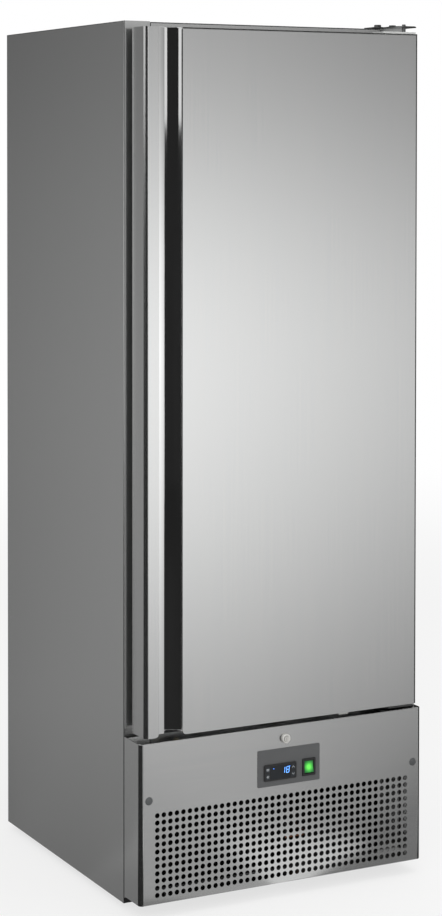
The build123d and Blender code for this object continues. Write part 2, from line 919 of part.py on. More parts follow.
def door_foam():
    """Foam body of the door with the dyke, the finger channel, and pockets for the cam and the hinges."""
    left, right = -door_half + lip_sheet, door_half - door_sheet
    front, back = door_front + lip_sheet, door_back - door_sheet
    block = slab((left, right), (front, back), (door_bottom + door_sheet, door_top - door_sheet))
    uprights = block.edges().filter_by(Axis.Z).group_by(Axis.Y)[0]
    block = chamfer(uprights, lip_radius - lip_sheet)
    low_corner = slab((left, skin_left + cap_overlap), (front, back), (door_bottom, channel_bottom))
    top_corner = slab((left, skin_left), (front, back), (door_top - cap_plate, door_top))
    channel = offset(groove_outline(), amount=channel_sheet, kind=Kind.INTERSECTION)
    channel = prism(channel, "z", door_bottom, door_top)
    strip_depth = (door_front, door_front + channel_sheet)
    strip = slab((lip_seam_x, groove_left), strip_depth, (door_bottom, door_top))
    cuts = [low_corner, top_corner, channel, strip, *bush_pockets(), lock_pocket(door_sheet)]
    return block + dyke_block(liner_sheet) - cuts


def door_gasket():
    """Magnetic seal: four lengths, each with a base, a narrow bellows and a head on the stile."""
    w = gasket_width
    front, back = door_back, -seat_clearance
    neck_left = gasket_neck / 2
    section = face(
        (0, front), (w, front), (w, front + gasket_base), (w - neck_left, front + gasket_base),
        (w - neck_left, back - gasket_base), (w, back - gasket_base), (w, back), (0, back),
    )
    outer = door_half - gasket_inset
    low, high = door_bottom + gasket_inset, door_top - gasket_inset
    left = Pos(-outer, 0, 0) * prism(section, "z", low, high)
    right = mirror(left, about=Plane.YZ)
    lying = face(*[(vertex.Y, vertex.X) for vertex in section.vertices()])
    return [left, right, *lying_gaskets(lying, outer - w, low, high)]


def lying_gaskets(section, half, low, high):
    bottom = Pos(0, 0, low) * prism(section, "x", -half, half)
    top = mirror(bottom, about=Plane.XY.offset((low + high) / 2))
    return [bottom, top]


# Inside the freezing compartment


def shelf_levels():
    return [opening_bottom + shelf_first + i * shelf_pitch for i in range(shelf_count)]


def shelf_pilasters():
    """Upright supports that the shelf clips hook into."""
    low = opening_bottom + pilaster_bottom
    strips = []
    for side in (-1, 1):
        x = side * opening_half
        thickness = (x, x - side * pilaster_thickness)
        for y in (pilaster_front, pilaster_back):
            strips.append(slab(thickness, (y, y + pilaster_width), (low, low + pilaster_height)))
    return strips


def shelf_clips():
    """A wedge-shaped clip at each corner of each shelf."""
    clips = []
    for level in shelf_levels():
        for side in (-1, 1):
            x = side * (opening_half - pilaster_thickness)
            for y in (pilaster_front, pilaster_back):
                wedge = face((x, level), (x - side * clip_reach, level), (x, level - clip_height))
                clips.append(prism(wedge, "y", y, y + pilaster_width))
    return clips


def shelf(level):
    """Welded grid: a rim, bars front to back and a turned-down front lip."""
    half = shelf_half
    low, high = level + shelf_clearance, level + shelf_clearance + shelf_thickness
    front, back = shelf_front, shelf_back
    plate = slab((-half, half), (front, back), (low, high))
    inner = 2 * (half - shelf_rim)
    gap = (inner - (shelf_gaps - 1) * shelf_wire) / shelf_gaps
    for i in range(shelf_gaps):
        x = -half + shelf_rim + i * (gap + shelf_wire)
        plate -= slab((x, x + gap), (front + shelf_rim, back - shelf_rim), (low, high))
    lip = slab((-half, half), (front, front + shelf_lip_thickness), (low - shelf_lip, low))
    return plate + lip


def comb(length, depth, spine):
    """A finned block seen from above: a spine with fins towards -Y."""
    pitch = (length - fin_thickness) / (fin_count - 1)
    points = [(length, depth), (0, depth)]
    for i in range(fin_count):
        x = i * pitch
        points += [(x, 0), (x + fin_thickness, 0)]
        if i < fin_count - 1:
            points += [(x + fin_thickness, depth - spine), (x + pitch, depth - spine)]
    return face(*points)


def evaporator():
    depth = coil_back - coil_front
    block = comb(2 * coil_half, depth, coil_spine)
    return Pos(-coil_half, coil_front, 0) * prism(block, "z", coil_z, opening_top)


def evaporator_cover():
    """Folded tray under and in front of the coil, with the round hole for the fan."""
    t = coil_cover_sheet
    half = opening_half - seat_clearance
    front = slab((-half, half), (coil_cover_front, coil_cover_front + t), (cover_z, opening_top))
    floor = slab((-half, half), (coil_cover_front, coil_cover_back), (cover_z, cover_z + t))
    opening = fan_diameter + fan_hole_clearance
    hole = bore("y", (0, coil_fan_z()), opening, coil_cover_front, coil_cover_front + t)
    return front + floor - hole


def coil_fan_z():
    return cover_z + coil_zone_height / 2


# Fans


def fan(x, z, sheet_back):
    """Axial fan behind a sheet, with its shaft towards the motor."""
    start = sheet_back + fan_gap
    end = start + fan_hub_length
    rotor = rod("y", (x, z), fan_hub_diameter, start, end, few_sides)
    rotor += rod("y", (x, z), fan_shaft_diameter, end, end + fan_shaft_length, few_sides)
    inner = fan_hub_diameter / 2 - fan_blade_thickness
    length = fan_diameter / 2 - inner
    blade = Pos(0, 0, inner + length / 2) * Rot(0, 0, fan_blade_pitch) * Box(
        fan_blade_width, fan_blade_thickness, length
    )
    for i in range(fan_blades):
        rotor += Pos(x, (start + end) / 2, z) * Rot(0, 360 / fan_blades * i, 0) * blade
    return rotor


def fan_motor(x, z, sheet_back):
    """Motor on a strap whose feet stand on the sheet round the fan."""
    strap_y = sheet_back + 2 * fan_gap + fan_hub_length
    half = fan_diameter / 2 + fan_hole_clearance + strap_foot
    side = strap_width / 2
    body = slab((x - half, x + half), (strap_y, strap_y + strap_thickness), (z - side, z + side))
    for end in (-1, 1):
        outer = x + end * half
        body += slab((outer, outer - end * strap_thickness), (sheet_back, strap_y), (z - side, z + side))
    back = strap_y + strap_thickness
    body += rod("y", (x, z), motor_diameter, back, back + motor_length, few_sides)
    bore_end = sheet_back + fan_gap + fan_hub_length + fan_shaft_length + motor_gap
    return body - bore("y", (x, z), fan_shaft_diameter + 2 * motor_shaft_fit, strap_y, bore_end, few_sides)


# Refrigeration compartment


def condenser_x():
    return -half_width + condenser_left


def condenser_fan_place():
    back = condenser_front + condenser_depth + shroud_depth
    return condenser_x() + condenser_width / 2, tray_top + condenser_height / 2, back


def condenser():
    block = comb(condenser_width, condenser_depth, condenser_spine)
    top = tray_top + condenser_height
    return Pos(condenser_x(), condenser_front, 0) * prism(block, "z", tray_top, top)


def condenser_shroud():
    """Box between the condenser and the fan, open in front, with a round hole at the back."""
    x, z, back = condenser_fan_place()
    front = condenser_front + condenser_depth
    left, right = condenser_x(), condenser_x() + condenser_width
    t = shroud_sheet
    top = tray_top + condenser_height
    box = slab((left, right), (front, back), (tray_top, top))
    box -= slab((left + t, right - t), (front, back - t), (tray_top + t, top - t))
    return box - bore("y", (x, z), fan_diameter + fan_hole_clearance, back - t, back)


def compressor():
    """Hermetic shell with bevelled ends and a welded flange, on its foot plate, with a terminal cover."""
    x, y = compressor_x, compressor_y
    plate_low = tray_top + mount_height
    low = plate_low + compressor_plate
    shell = rod("z", (x, y), 2 * compressor_radius, low, low + compressor_height)
    ends = shell.faces().filter_by(Axis.Z)
    shell = chamfer(ends.edges(), compressor_bevel)
    half_x, half_y = compressor_plate_side / 2, compressor_plate_depth / 2
    plate = slab((x - half_x, x + half_x), (y - half_y, y + half_y), (plate_low, low + compressor_seat))
    side = terminal_width / 2
    mid = low + compressor_height / 2
    back = y + compressor_radius + terminal_depth / 2
    cover = slab(
        (x - side, x + side),
        (back - terminal_depth, back),
        (mid - terminal_height / 2, mid + terminal_height / 2),
    )
    return shell + plate + cover


def compressor_mounts():
    """Rubber grommets between the foot plate and the tray."""
    half_x = compressor_plate_side / 2 - mount_inset
    half_y = compressor_plate_depth / 2 - mount_inset
    x, y = compressor_x, compressor_y
    places = [(x + sx * half_x, y + sy * half_y) for sx in (-1, 1) for sy in (-1, 1)]
    top = tray_top + mount_height
    return [rod("z", place, mount_diameter, tray_top, top, least_sides) for place in places]


def tube(corners):
    """A six-sided tube along straight runs, with each corner cut off at an angle."""
    points = [Vector(*corners[0])]
    for before, corner, after in zip(corners, corners[1:], corners[2:]):
        corner = Vector(*corner)
        for neighbour in (before, after):
            points.append(corner + (Vector(*neighbour) - corner).normalized() * tube_bend)
    points.append(Vector(*corners[-1]))
    path = Polyline(*points)
    start = Plane(origin=path @ 0, z_dir=path % 0)
    return sweep(start * hexagon(tube_diameter), path=path, transition=Transition.RIGHT)


def refrigerant_tubes():
    """Discharge line, liquid line with its drier, and suction line. The drier is brazed into its line."""
    x, y = compressor_x, compressor_y
    top = tray_top + mount_height + compressor_plate + compressor_height
    port_x = condenser_x() + condenser_width
    port_y = condenser_front + condenser_port_depth
    low_port, high_port = tray_top + condenser_port_rise, tray_top + condenser_height - tube_bend
    over = high_port + tube_rise
    start_x, start_y, turn_x = x - tube_from_axis, y - tube_setback, port_x + discharge_gap
    discharge = tube([
        (start_x, start_y, top), (start_x, start_y, over), (turn_x, start_y, over),
        (turn_x, port_y, over), (turn_x, port_y, high_port), (port_x, port_y, high_port),
    ])
    line_x, line_y = port_x + liquid_gap, port_y + liquid_setback
    liquid = tube([
        (port_x, port_y, low_port), (line_x, port_y, low_port), (line_x, line_y, low_port),
        (line_x, line_y, machine_top),
    ])
    drier_low = low_port + drier_rise
    drier = prism(Pos(line_x, line_y) * hexagon(drier_diameter), "z", drier_low, drier_low + drier_length)
    end_x, end_y = x + tube_from_axis, y + tube_setback
    suction = tube([
        (end_x, end_y, top), (end_x, end_y, top + tube_rise), (end_x, end_y + tube_spread, top + tube_rise),
        (end_x, end_y + tube_spread, machine_top),
    ])
    return [discharge, liquid + drier, suction]


def drip_tray():
    """Open pan that catches the defrost water."""
    x0 = -half_width + drip_tray_left
    x1 = x0 + drip_tray_width
    y1 = rear_cover_back() - drip_tray_back
    y0 = y1 - drip_tray_depth
    t = drip_tray_wall
    rim = tray_top + drip_tray_height
    pan = slab((x0, x1), (y0, y1), (tray_top, rim))
    return pan - slab((x0 + t, x1 - t), (y0 + t, y1 - t), (tray_top + t, rim))


def electrical_box():
    """Wiring box with its lid."""
    right = half_width - box_from_side
    left = right - box_width
    back = rear_cover_back() - box_inset
    front = back - box_depth
    top = tray_top + box_height
    body = slab((left, right), (front, back), (tray_top, top))
    lid = slab((left - box_lid, right + box_lid), (front - box_lid, back + box_lid), (top, top + box_lid))
    return body + lid


def rear_cover_back():
    return cabinet_depth - rear_cover_recess


def gland_place():
    return -gland_from_centre, side_bottom + gland_rise


def rear_grille():
    """Recessed cover behind the refrigeration compartment, with two columns of air slots."""
    half = half_width - sheet
    back = rear_cover_back()
    depth = (back - rear_cover_sheet, back)
    cover = slab((-half, half), depth, (tray_top, machine_top))
    for i in range(slot_rows):
        z = side_bottom + slot_rise + i * slot_pitch
        for side in (-1, 1):
            x = side * slot_between / 2
            cover -= slab((x, x + side * slot_width), depth, (z, z + slot_height))
    gx, gz = gland_place()
    return cover - bore("y", (gx, gz), gland_bore, *depth, few_sides)


def mains_gland():
    """Cord gland on the rear cover, with its bore open."""
    back = rear_cover_back()
    centre = gland_place()
    flange = prism(Pos(*centre) * hexagon(gland_across_flats), "y", back, back + gland_flange)
    nose = rod("y", centre, gland_nose_diameter, back, back + gland_nose, few_sides)
    return flange + nose - bore("y", centre, gland_bore, back, back + gland_nose, few_sides)


# Levelling feet


def foot_places():
    side = half_width - foot_side_inset
    back = cabinet_depth - foot_back_inset
    return [(-side, foot_front_inset), (side, foot_front_inset), (-side, back), (side, back)]


def levelling_foot(x, y):
    pad = prism(Pos(x, y) * hexagon(foot_across_flats), "z", 0, foot_pad)
    return pad + rod("z", (x, y), stud_diameter, foot_pad, foot_pad + stud_length, least_sides)


def main():
    os.makedirs("parts", exist_ok=True)
    save("side_panel_left", side_panel(-1))
    save("side_panel_right", side_panel(1))
    save("top_panel", top_panel())
    save("floor_panel", floor_panel())
    save("back_panel", back_panel())
    save("cabinet_insulation", *cabinet_insulation())
    save("inner_liner", inner_liner())
    save("breaker_strips", *breaker_strips())
    save("base_tray", base_tray())
    save("base_front_panel", base_front_panel())
    save("screw_caps", *screw_caps())
    save("control_plate", control_plate())
    save("controller_case", controller_case())
    save("controller_facia", controller_facia())
    for name, (x, z) in key_places().items():
        save(name, controller_key(x, z))
    save("switch_bezel", switch_bezel())
    save("switch_rocker", switch_rocker())
    save("lock_barrel", lock_barrel())
    save("lock_core", lock_core())
    save("top_hinge_bracket", top_hinge_bracket())
    save("bottom_hinge_bracket", bottom_hinge_bracket())
    save("hinge_pins", *hinge_pins())
    save("hinge_bolts", *hinge_bolts())
    save("door_hinge_plates", *door_hinge_plates())
    save("hinge_bushes", *hinge_bushes())
    save("door_tab", door_tab())
    save("door_skin", door_skin())
    save("door_foam", door_foam())
    save("door_liner", door_liner())
    save("door_gasket", *door_gasket())
    save("handle_lip", handle_lip())
    save("handle_channel", handle_channel())
    save("handle_end_caps", *handle_end_caps())
    save("shelf_pilasters", *shelf_pilasters())
    save("shelf_clips", *shelf_clips())
    for i, level in enumerate(shelf_levels(), start=1):
        save(f"shelf_{i}", shelf(level))
    save("evaporator", evaporator())
    save("evaporator_cover", evaporator_cover())
    coil_fan = (0, coil_fan_z(), coil_cover_front + coil_cover_sheet)
    save("evaporator_fan", fan(*coil_fan))
    save("evaporator_fan_motor", fan_motor(*coil_fan))
    save("condenser", condenser())
    save("condenser_shroud", condenser_shroud())
    save("condenser_fan", fan(*condenser_fan_place()))
    save("condenser_fan_motor", fan_motor(*condenser_fan_place()))
    save("compressor", compressor())
    save("compressor_mounts", *compressor_mounts())
    save("refrigerant_tubes", *refrigerant_tubes())
    save("drip_tray", drip_tray())
    save("electrical_box", electrical_box())
    save("rear_grille", rear_grille())
    save("mains_gland", mains_gland())
    names = ("foot_front_left", "foot_front_right", "foot_rear_left", "foot_rear_right")
    for name, (x, y) in zip(names, foot_places()):
        save(name, levelling_foot(x, y))


main()
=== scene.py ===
import json
from functools import partial
from math import atan2, cos, pi, radians, sin, sqrt

import bmesh
import bpy
from mathutils import Matrix, Vector

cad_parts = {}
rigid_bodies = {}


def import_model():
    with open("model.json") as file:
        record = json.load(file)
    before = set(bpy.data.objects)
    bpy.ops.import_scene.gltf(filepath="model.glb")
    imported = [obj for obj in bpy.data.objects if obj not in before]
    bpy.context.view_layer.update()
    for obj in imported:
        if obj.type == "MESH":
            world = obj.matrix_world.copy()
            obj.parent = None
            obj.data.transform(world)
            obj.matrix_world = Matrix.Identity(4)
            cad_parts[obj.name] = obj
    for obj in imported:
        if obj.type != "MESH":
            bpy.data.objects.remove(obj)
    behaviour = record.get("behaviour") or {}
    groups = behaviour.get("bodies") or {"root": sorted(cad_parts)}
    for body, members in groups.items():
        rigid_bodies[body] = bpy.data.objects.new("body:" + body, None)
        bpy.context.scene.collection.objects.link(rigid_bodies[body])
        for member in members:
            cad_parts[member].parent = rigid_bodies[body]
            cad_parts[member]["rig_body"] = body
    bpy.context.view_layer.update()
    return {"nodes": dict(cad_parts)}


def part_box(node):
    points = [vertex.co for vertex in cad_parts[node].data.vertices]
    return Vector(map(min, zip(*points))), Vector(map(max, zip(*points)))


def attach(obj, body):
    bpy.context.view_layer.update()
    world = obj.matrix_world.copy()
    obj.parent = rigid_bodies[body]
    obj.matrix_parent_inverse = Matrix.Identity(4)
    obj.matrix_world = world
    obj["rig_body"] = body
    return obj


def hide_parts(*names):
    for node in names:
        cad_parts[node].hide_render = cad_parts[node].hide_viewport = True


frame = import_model()
nodes = frame["nodes"]
mm = 0.001
print("frame loaded:", len(nodes), "nodes")


# colours and material nodes

def linear(hexColour):
    channels = [int(hexColour[i:i + 2], 16) / 255 for i in (1, 3, 5)]
    return tuple(c / 12.92 if c <= 0.04045 else ((c + 0.055) / 1.055) ** 2.4 for c in channels) + (1.0,)


def feed(node, links):
    # a node or socket is linked to the input, a list of them one by one, and anything else is its value
    for key, given in links.items():
        for source in given if isinstance(given, list) else [given]:
            if isinstance(source, bpy.types.Node):
                source = source.outputs[0]
            if isinstance(source, bpy.types.NodeSocket):
                node.id_data.links.new(source, node.inputs[key])
            else:
                node.inputs[key].default_value = source
    return node


def addNode(tree, kind, links=None, **settings):
    node = tree.nodes.new(kind)
    for key, value in settings.items():
        setattr(node, key, value)
    return feed(node, links or {})


def newMaterial(name, **surface):
    material = bpy.data.materials.new(name)
    material.use_nodes = True
    shader = material.node_tree.nodes["Principled BSDF"]
    feed(shader, {key.replace("_", " "): value for key, value in surface.items()})
    return material, material.node_tree, shader


def patternAt(tree, scale):
    coords = addNode(tree, "ShaderNodeTexCoord").outputs["Object"]
    return addNode(tree, "ShaderNodeMapping", {"Vector": coords, "Scale": scale})


def varied(tree, shader, value, dark, light, roughness, spread, low=0.3, high=0.7):
    # one pattern drives both the colour and, by the spread, the roughness
    part = addNode(tree, "ShaderNodeMapRange", {0: value, 1: low, 2: high})
    colour = addNode(tree, "ShaderNodeMix", {0: part, 6: linear(dark), 7: linear(light)}, data_type="RGBA")
    level = addNode(tree, "ShaderNodeMapRange", {0: part, 3: roughness - spread, 4: roughness + spread})
    feed(shader, {"Base Color": colour.outputs[2], "Roughness": level})


def addBump(tree, shader, height, distance):
    feed(shader, {"Normal": addNode(tree, "ShaderNodeBump", {"Height": height, "Distance": distance})})


def brushedSteel(name, dark, light, roughness, grain, spread=0.03):
    # 304 stainless with a No. 4 belt finish: fine parallel scratches that blur reflections along the grain.
    # The real scratches are 0.1 mm apart; these are 1.2 mm, so that a trace of them shows.
    material, tree, shader = newMaterial(name, Metallic=1.0)
    streaks = addNode(tree, "ShaderNodeTexNoise", {"Vector": patternAt(tree, grain), "Scale": 1.0, "Detail": 3.0})
    varied(tree, shader, streaks, dark, light, roughness, spread)
    addBump(tree, shader, streaks, 0.00002)
    return material


def galvanised(name):
    # hot-dip galvanised sheet: grey zinc crystals about 8 mm across
    material, tree, shader = newMaterial(name, Metallic=1.0)
    spangle = addNode(tree, "ShaderNodeTexVoronoi", {"Vector": patternAt(tree, (120, 120, 120)), "Scale": 1.0})
    value = addNode(tree, "ShaderNodeSeparateColor", {0: spangle.outputs["Color"]})
    varied(tree, shader, value, "#8f9496", "#a9aeb0", 0.43, 0.07, 0.0, 1.0)
    return material


def moulded(name, dark, light, roughness, grainMm=0.6, depth=0.00003, metallic=0.0):
    # moulded plastic, rubber, enamel or plated metal: one colour with a fine grain and faint clouds
    material, tree, shader = newMaterial(name, Metallic=metallic)
    coords = patternAt(tree, (1, 1, 1))
    grain = addNode(tree, "ShaderNodeTexNoise", {"Vector": coords, "Scale": 1 / (grainMm * mm), "Detail": 2.0})
    clouds = addNode(tree, "ShaderNodeTexNoise", {"Vector": coords, "Scale": 22.0, "Detail": 3.0})
    varied(tree, shader, clouds, dark, light, roughness, 0.04)
    addBump(tree, shader, grain, depth)
    return material


def lit(name, colour, glow, strength):
    # a lens or segment with a lamp behind it
    return newMaterial(name, Base_Color=linear(colour), Roughness=0.25, Emission_Color=linear(glow),
                       Emission_Strength=strength)[0]


def foamMaterial(name):
    # rigid polyurethane foam: matt, pale yellow, with closed cells about 2 mm across
    material, tree, shader = newMaterial(name)
    cells = addNode(tree, "ShaderNodeTexVoronoi", {"Vector": patternAt(tree, (1, 1, 1)), "Scale": 450.0})
    varied(tree, shader, cells.outputs["Distance"], "#cdb877", "#e6d79d", 0.9, 0.03)
    addBump(tree, shader, cells.outputs["Distance"], 0.0004)
    return material


def litRocker(name, centre, reach):
    # green polycarbonate with a small lamp behind it: brightest in the middle, deep green at its edges
    material, tree, shader = newMaterial(name, Roughness=0.25)
    coords = addNode(tree, "ShaderNodeTexCoord").outputs["Object"]
    away = addNode(tree, "ShaderNodeVectorMath", {0: coords, 1: centre}, operation="DISTANCE").outputs[1]
    near = addNode(tree, "ShaderNodeMapRange", {0: away, 1: reach, 2: 0.0}, interpolation_type="SMOOTHSTEP")
    for socket, edge, heart in (("Emission Color", "#1f9a3a", "#7dff4a"), ("Base Color", "#0b5a20", "#23b045")):
        colour = addNode(tree, "ShaderNodeMix", {0: near, 6: linear(edge), 7: linear(heart)}, data_type="RGBA")
        feed(shader, {socket: colour.outputs[2]})
    feed(shader, {"Emission Strength": addNode(tree, "ShaderNodeMapRange", {0: near, 3: 0.16, 4: 0.95})})
    return material


def middleOf(nodeName):
    low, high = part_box(nodeName)
    return (low + high) / 2


doorSteel = brushedSteel("brushedStainlessDoor", "#c5c6c6", "#c9c9c8", 0.22, (800, 800, 3), 0.01)
sideSteel = brushedSteel("brushedStainlessSide", "#c3c4c4", "#c7c7c6", 0.24, (800, 800, 3), 0.01)
panelSteel = brushedSteel("brushedStainlessPanel", "#c5c6c6", "#c9c9c8", 0.22, (3, 800, 800), 0.01)
innerSteel = brushedSteel("satinStainlessLiner", "#b9bbbc", "#c4c5c5", 0.34, (800, 800, 3))
polishedSteel = brushedSteel("polishedStainless", "#d2d3d3", "#d6d6d5", 0.06, (300, 300, 3), 0.005)
darkZinc = moulded("darkPassivatedZinc", "#5d5e5e", "#6c6d6c", 0.3, 0.8, 0.00001, 1.0)  # dull dark grey shine
zincPlate = moulded("brightZincPlate", "#b5b7b5", "#c6c7c2", 0.26, 0.8, 0.00001, 1.0)  # bluish white shine
nickelPlate = moulded("satinNickelPlate", "#e4e3df", "#ecebe7", 0.5, 0.8, 0.000005, 1.0)  # warm, soft glow
zincSheet = galvanised("galvanisedSheet")
blackAbs = moulded("blackAbs", "#141415", "#1b1b1c", 0.42)  # spark-grained, half matt
greyAbs = moulded("greyAbs", "#7d7f80", "#878989", 0.45)  # the same grain in mid grey
capAbs = moulded("greyCapAbs", "#454748", "#505253", 0.28)  # dark grey with a soft highlight
whiteAbs = moulded("whiteAbs", "#e3e4e2", "#ecedeb", 0.35)  # clean white, slightly glossy
paleAbs = moulded("paleGreyAbs", "#c2c3c2", "#cbccca", 0.4)  # pale grey, half matt
gasketPvc = moulded("softPvcGasket", "#3a3b3c", "#444546", 0.55)  # soft dark grey, no sharp highlight
blackRubber = moulded("blackRubber", "#0f0f10", "#171718", 0.65, 0.5, 0.00006)  # matt black
blackEnamel = moulded("blackEnamel", "#0c0c0d", "#151516", 0.22, 1.5, 0.00004)  # sprayed: glossy, faint orange peel
copper = moulded("drawnCopper", "#b87451", "#c98460", 0.28, 1.0, 0.00001, 1.0)  # bright reddish metal
finAluminium = moulded("millAluminium", "#bfc2c4", "#cdd0d2", 0.34, 0.8, 0.00001, 1.0)  # satin, rolled
coatedWire = moulded("epoxyCoatedWire", "#e2e3e0", "#eeeeeb", 0.3, 1.2, 0.00004)  # dipped: smooth off-white
displayLens = moulded("tintedAcrylic", "#101418", "#161b20", 0.09, 2.0, 0.000002)  # near-black, mirror gloss
keyFoil = moulded("keyFoil", "#1b2026", "#20262c", 0.3, 0.8, 0.00001)  # dark printed foil
overlayFoil = moulded("satinPolyesterOverlay", "#505152", "#555657", 0.5, 0.4, 0.000008)  # fine-grained satin
printedGrey = moulded("printedGreyInk", "#b9bec2", "#c4c8cb", 0.5)  # flat light ink
rocker = middleOf("switch_rocker")
greenLens = litRocker("greenLitPolycarbonate", (rocker.x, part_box("switch_rocker")[0].y, rocker.z), 15 * mm)
blueSegments = lit("blueSegments", "#1f62ff", "#2f7dff", 1.6)
blueHeart = lit("blueSegmentHearts", "#8fd0ff", "#8fdcff", 1.3)
seamShadeFill = moulded("paintedSeamShade", "#1c1c1d", "#252526", 0.6)  # painted shade: nearly black, standing for the shadow deep in the seams
polyurethane = foamMaterial("rigidPolyurethaneFoam")
print("materials made:", len(bpy.data.materials))


# stage, light and camera

stageFacts = {"floorRadius": 14.0, "floorSides": 96, "fadeFrom": 2.6, "fadeTo": 6.5, "floorGlow": 0.72,
              "roomLight": 0.66, "cardRadius": 6.0, "centreY": -0.35, "domeSides": 48, "domeBase": 1.6,
              "domeRises": (38, 48, 60, 75)}
cameraFacts = {"place": (-2.2623, -4.3767, 1.5715), "turn": 27.501, "pitch": -1.5, "roll": 0.046,
               "sensor": 36.0, "lens": 86.392, "shift": (0.0065, -0.2695)}

# Cards that only reflections see. Angles are from the front, positive to the object's right, and "rise" is the
# way out along the floor and then up the card, in metres. Each gives the glow there.
cards = {
    "frontRightCard": {"angles": {6: 1.0, 22: 1.0, 35: 0.6, 45: 0.35, 50: 0.1, 58: -0.6},
                       "rise": {0.4: 0.52, 1.0: 0.54, 1.5: 0.62, 2.3: 0.8, 4.0: 1.2, 6.0: 1.45, 6.6: 1.7, 7.1: 1.48,
                                7.6: 0.98, 8.0: 0.66, 9.0: 0.42, 11.6: 0.42}},
    "rightCard": {"angles": {58: 1.0, 179: 1.0},
                  "rise": {0.02: 0.16, 0.6: 0.24, 1.3: 0.5, 4.0: 0.6, 6.0: 0.75, 7.7: 1.0, 11.6: 1.0}},
    "frontLeftNearCard": {"angles": {-8: 1.0, 6: 1.0}, "rise": {0.02: 0.45, 4.0: 0.55, 6.0: 0.7, 7.7: 1.0}},
    "frontLeftFarCard": {"angles": {-70: 1.0, -8: 1.0},
                         "rise": {0.02: 0.45, 4.0: 0.55, 6.0: 0.7, 7.7: 1.0, 11.6: 1.0}},
    "leftCard": {"angles": {-130: 1.0, -70: 1.0},
                 "rise": {0.02: 0.18, 0.5: 0.24, 1.0: 0.45, 4.0: 0.55, 6.0: 0.7, 7.7: 1.0}},
    "rearLeftCard": {"angles": {-179: 0.25, -160: 0.38, -156: 0.72, -152: 0.95, -130: 1.05},
                     "rise": {0.02: 0.18, 2.0: 0.32, 5.0: 0.38, 6.5: 0.38, 7.4: 0.32, 8.2: 0.22, 11.6: 0.2}},
}


def ringPoints(x, z, radius, steps=32):
    return [(x + radius * cos(2 * pi * i / steps), z + radius * sin(2 * pi * i / steps)) for i in range(steps)]


def gridFaces(rows, wide, closed=False):
    return [(row * wide + i, row * wide + (i + 1) % wide, (row + 1) * wide + (i + 1) % wide, (row + 1) * wide + i)
            for row in range(rows - 1) for i in range(wide if closed else wide - 1)]


def addToScene(name, data):
    thing = bpy.data.objects.new(name, data)
    bpy.context.scene.collection.objects.link(thing)
    return thing


def stagePiece(name, corners, faces, material):
    mesh = bpy.data.meshes.new(name)
    mesh.from_pydata(corners, [], faces)
    mesh.materials.append(material)
    piece = addToScene(name, mesh)
    return piece


def makeFloor():
    material, tree, shader = newMaterial("paleFloor", Roughness=0.9, Base_Color=linear("#f4f4f3"),
                                         Specular_IOR_Level=0.1)
    coords = addNode(tree, "ShaderNodeTexCoord").outputs["Object"]
    distance = addNode(tree, "ShaderNodeVectorMath", {0: coords}, operation="LENGTH").outputs[1]
    fade = addNode(tree, "ShaderNodeMapRange", {
        0: distance, 1: stageFacts["fadeFrom"], 2: stageFacts["fadeTo"], 3: stageFacts["floorGlow"], 4: 1.0},
        interpolation_type="SMOOTHSTEP")
    white = addNode(tree, "ShaderNodeEmission", {"Color": (1, 1, 1, 1), "Strength": 1.0})
    mixed = addNode(tree, "ShaderNodeMixShader", {0: fade, 1: shader, 2: white})
    feed(tree.nodes["Material Output"], {"Surface": mixed})
    ring = [(x, y, 0) for x, y in ringPoints(0, 0, stageFacts["floorRadius"], stageFacts["floorSides"])]
    stagePiece("floor", ring, [tuple(range(len(ring)))], material)


def between(stops, place):
    keys = sorted(stops)
    for low, high in zip(keys, keys[1:]):
        if place <= high:
            return stops[low] + (stops[high] - stops[low]) * (place - low) / (high - low)
    return stops[keys[-1]]


def addCard(name, corners, faces, glows):
    # the material reads the glow attribute; only reflections see the card
    card = stagePiece(name, corners, faces, glowingCard)
    card.visible_camera = card.visible_diffuse = card.visible_shadow = card.visible_transmission = False
    card.data.attributes.new("glow", "FLOAT", "POINT").data.foreach_set("value", glows)
    return card


def makeCard(name, facts):
    # floor sector and upright card in one mesh
    radius, centreY = stageFacts["cardRadius"], stageFacts["centreY"]
    first, last = min(facts["angles"]), max(facts["angles"])
    steps = max(6, int((last - first) / 3))
    angles = [first + (last - first) * i / steps for i in range(steps + 1)]
    rises = sorted(set(facts["rise"]) | {radius})
    corners, glows = [], []
    for rise in rises:
        for angle in angles:
            out, height = min(rise, radius), max(rise - radius, 0.004)
            corners.append((out * sin(radians(angle)), centreY - out * cos(radians(angle)), height))
            lean = min(1.0, 0.4 + 0.15 * rise)  # near the object an angle counts for less
            share = max(0.08, 1 + (between(facts["angles"], angle) - 1) * lean)
            glows.append(between(facts["rise"], rise) * share)
    return addCard(name, corners, gridFaces(len(rises), len(angles)), glows)


def makeCeiling(name):
    # a dome over the object, as bright as the room
    steps, radius, rises = stageFacts["domeSides"], stageFacts["cardRadius"], stageFacts["domeRises"]
    corners = []
    for rise in rises:
        out, height = radius * cos(radians(rise)), stageFacts["domeBase"] + radius * sin(radians(rise))
        for i in range(steps):
            angle = 2 * pi * i / steps
            corners.append((out * sin(angle), stageFacts["centreY"] - out * cos(angle), height))
    top = tuple(range(len(corners) - steps, len(corners)))
    return addCard(name, corners, gridFaces(len(rises), steps, True) + [top], [1.0] * len(corners))


def cardMaterial():
    material, tree, shader = newMaterial("glowingCard", Base_Color=linear("#303030"), Roughness=0.9,
                                         Specular_IOR_Level=0.0, Emission_Color=(1, 1, 1, 1))
    glow = addNode(tree, "ShaderNodeAttribute", attribute_name="glow")
    feed(shader, {"Emission Strength": glow.outputs["Fac"]})
    return material


def hideGlowFrom(card, pieces):
    # these pieces see the card black, as the deep groove does in the real room
    group = bpy.data.collections.new(card.name + "Hidden")
    for piece in pieces:
        group.objects.link(piece)
    card.light_linking.receiver_collection = group
    for entry in group.collection_objects:
        entry.light_linking.link_state = "EXCLUDE"


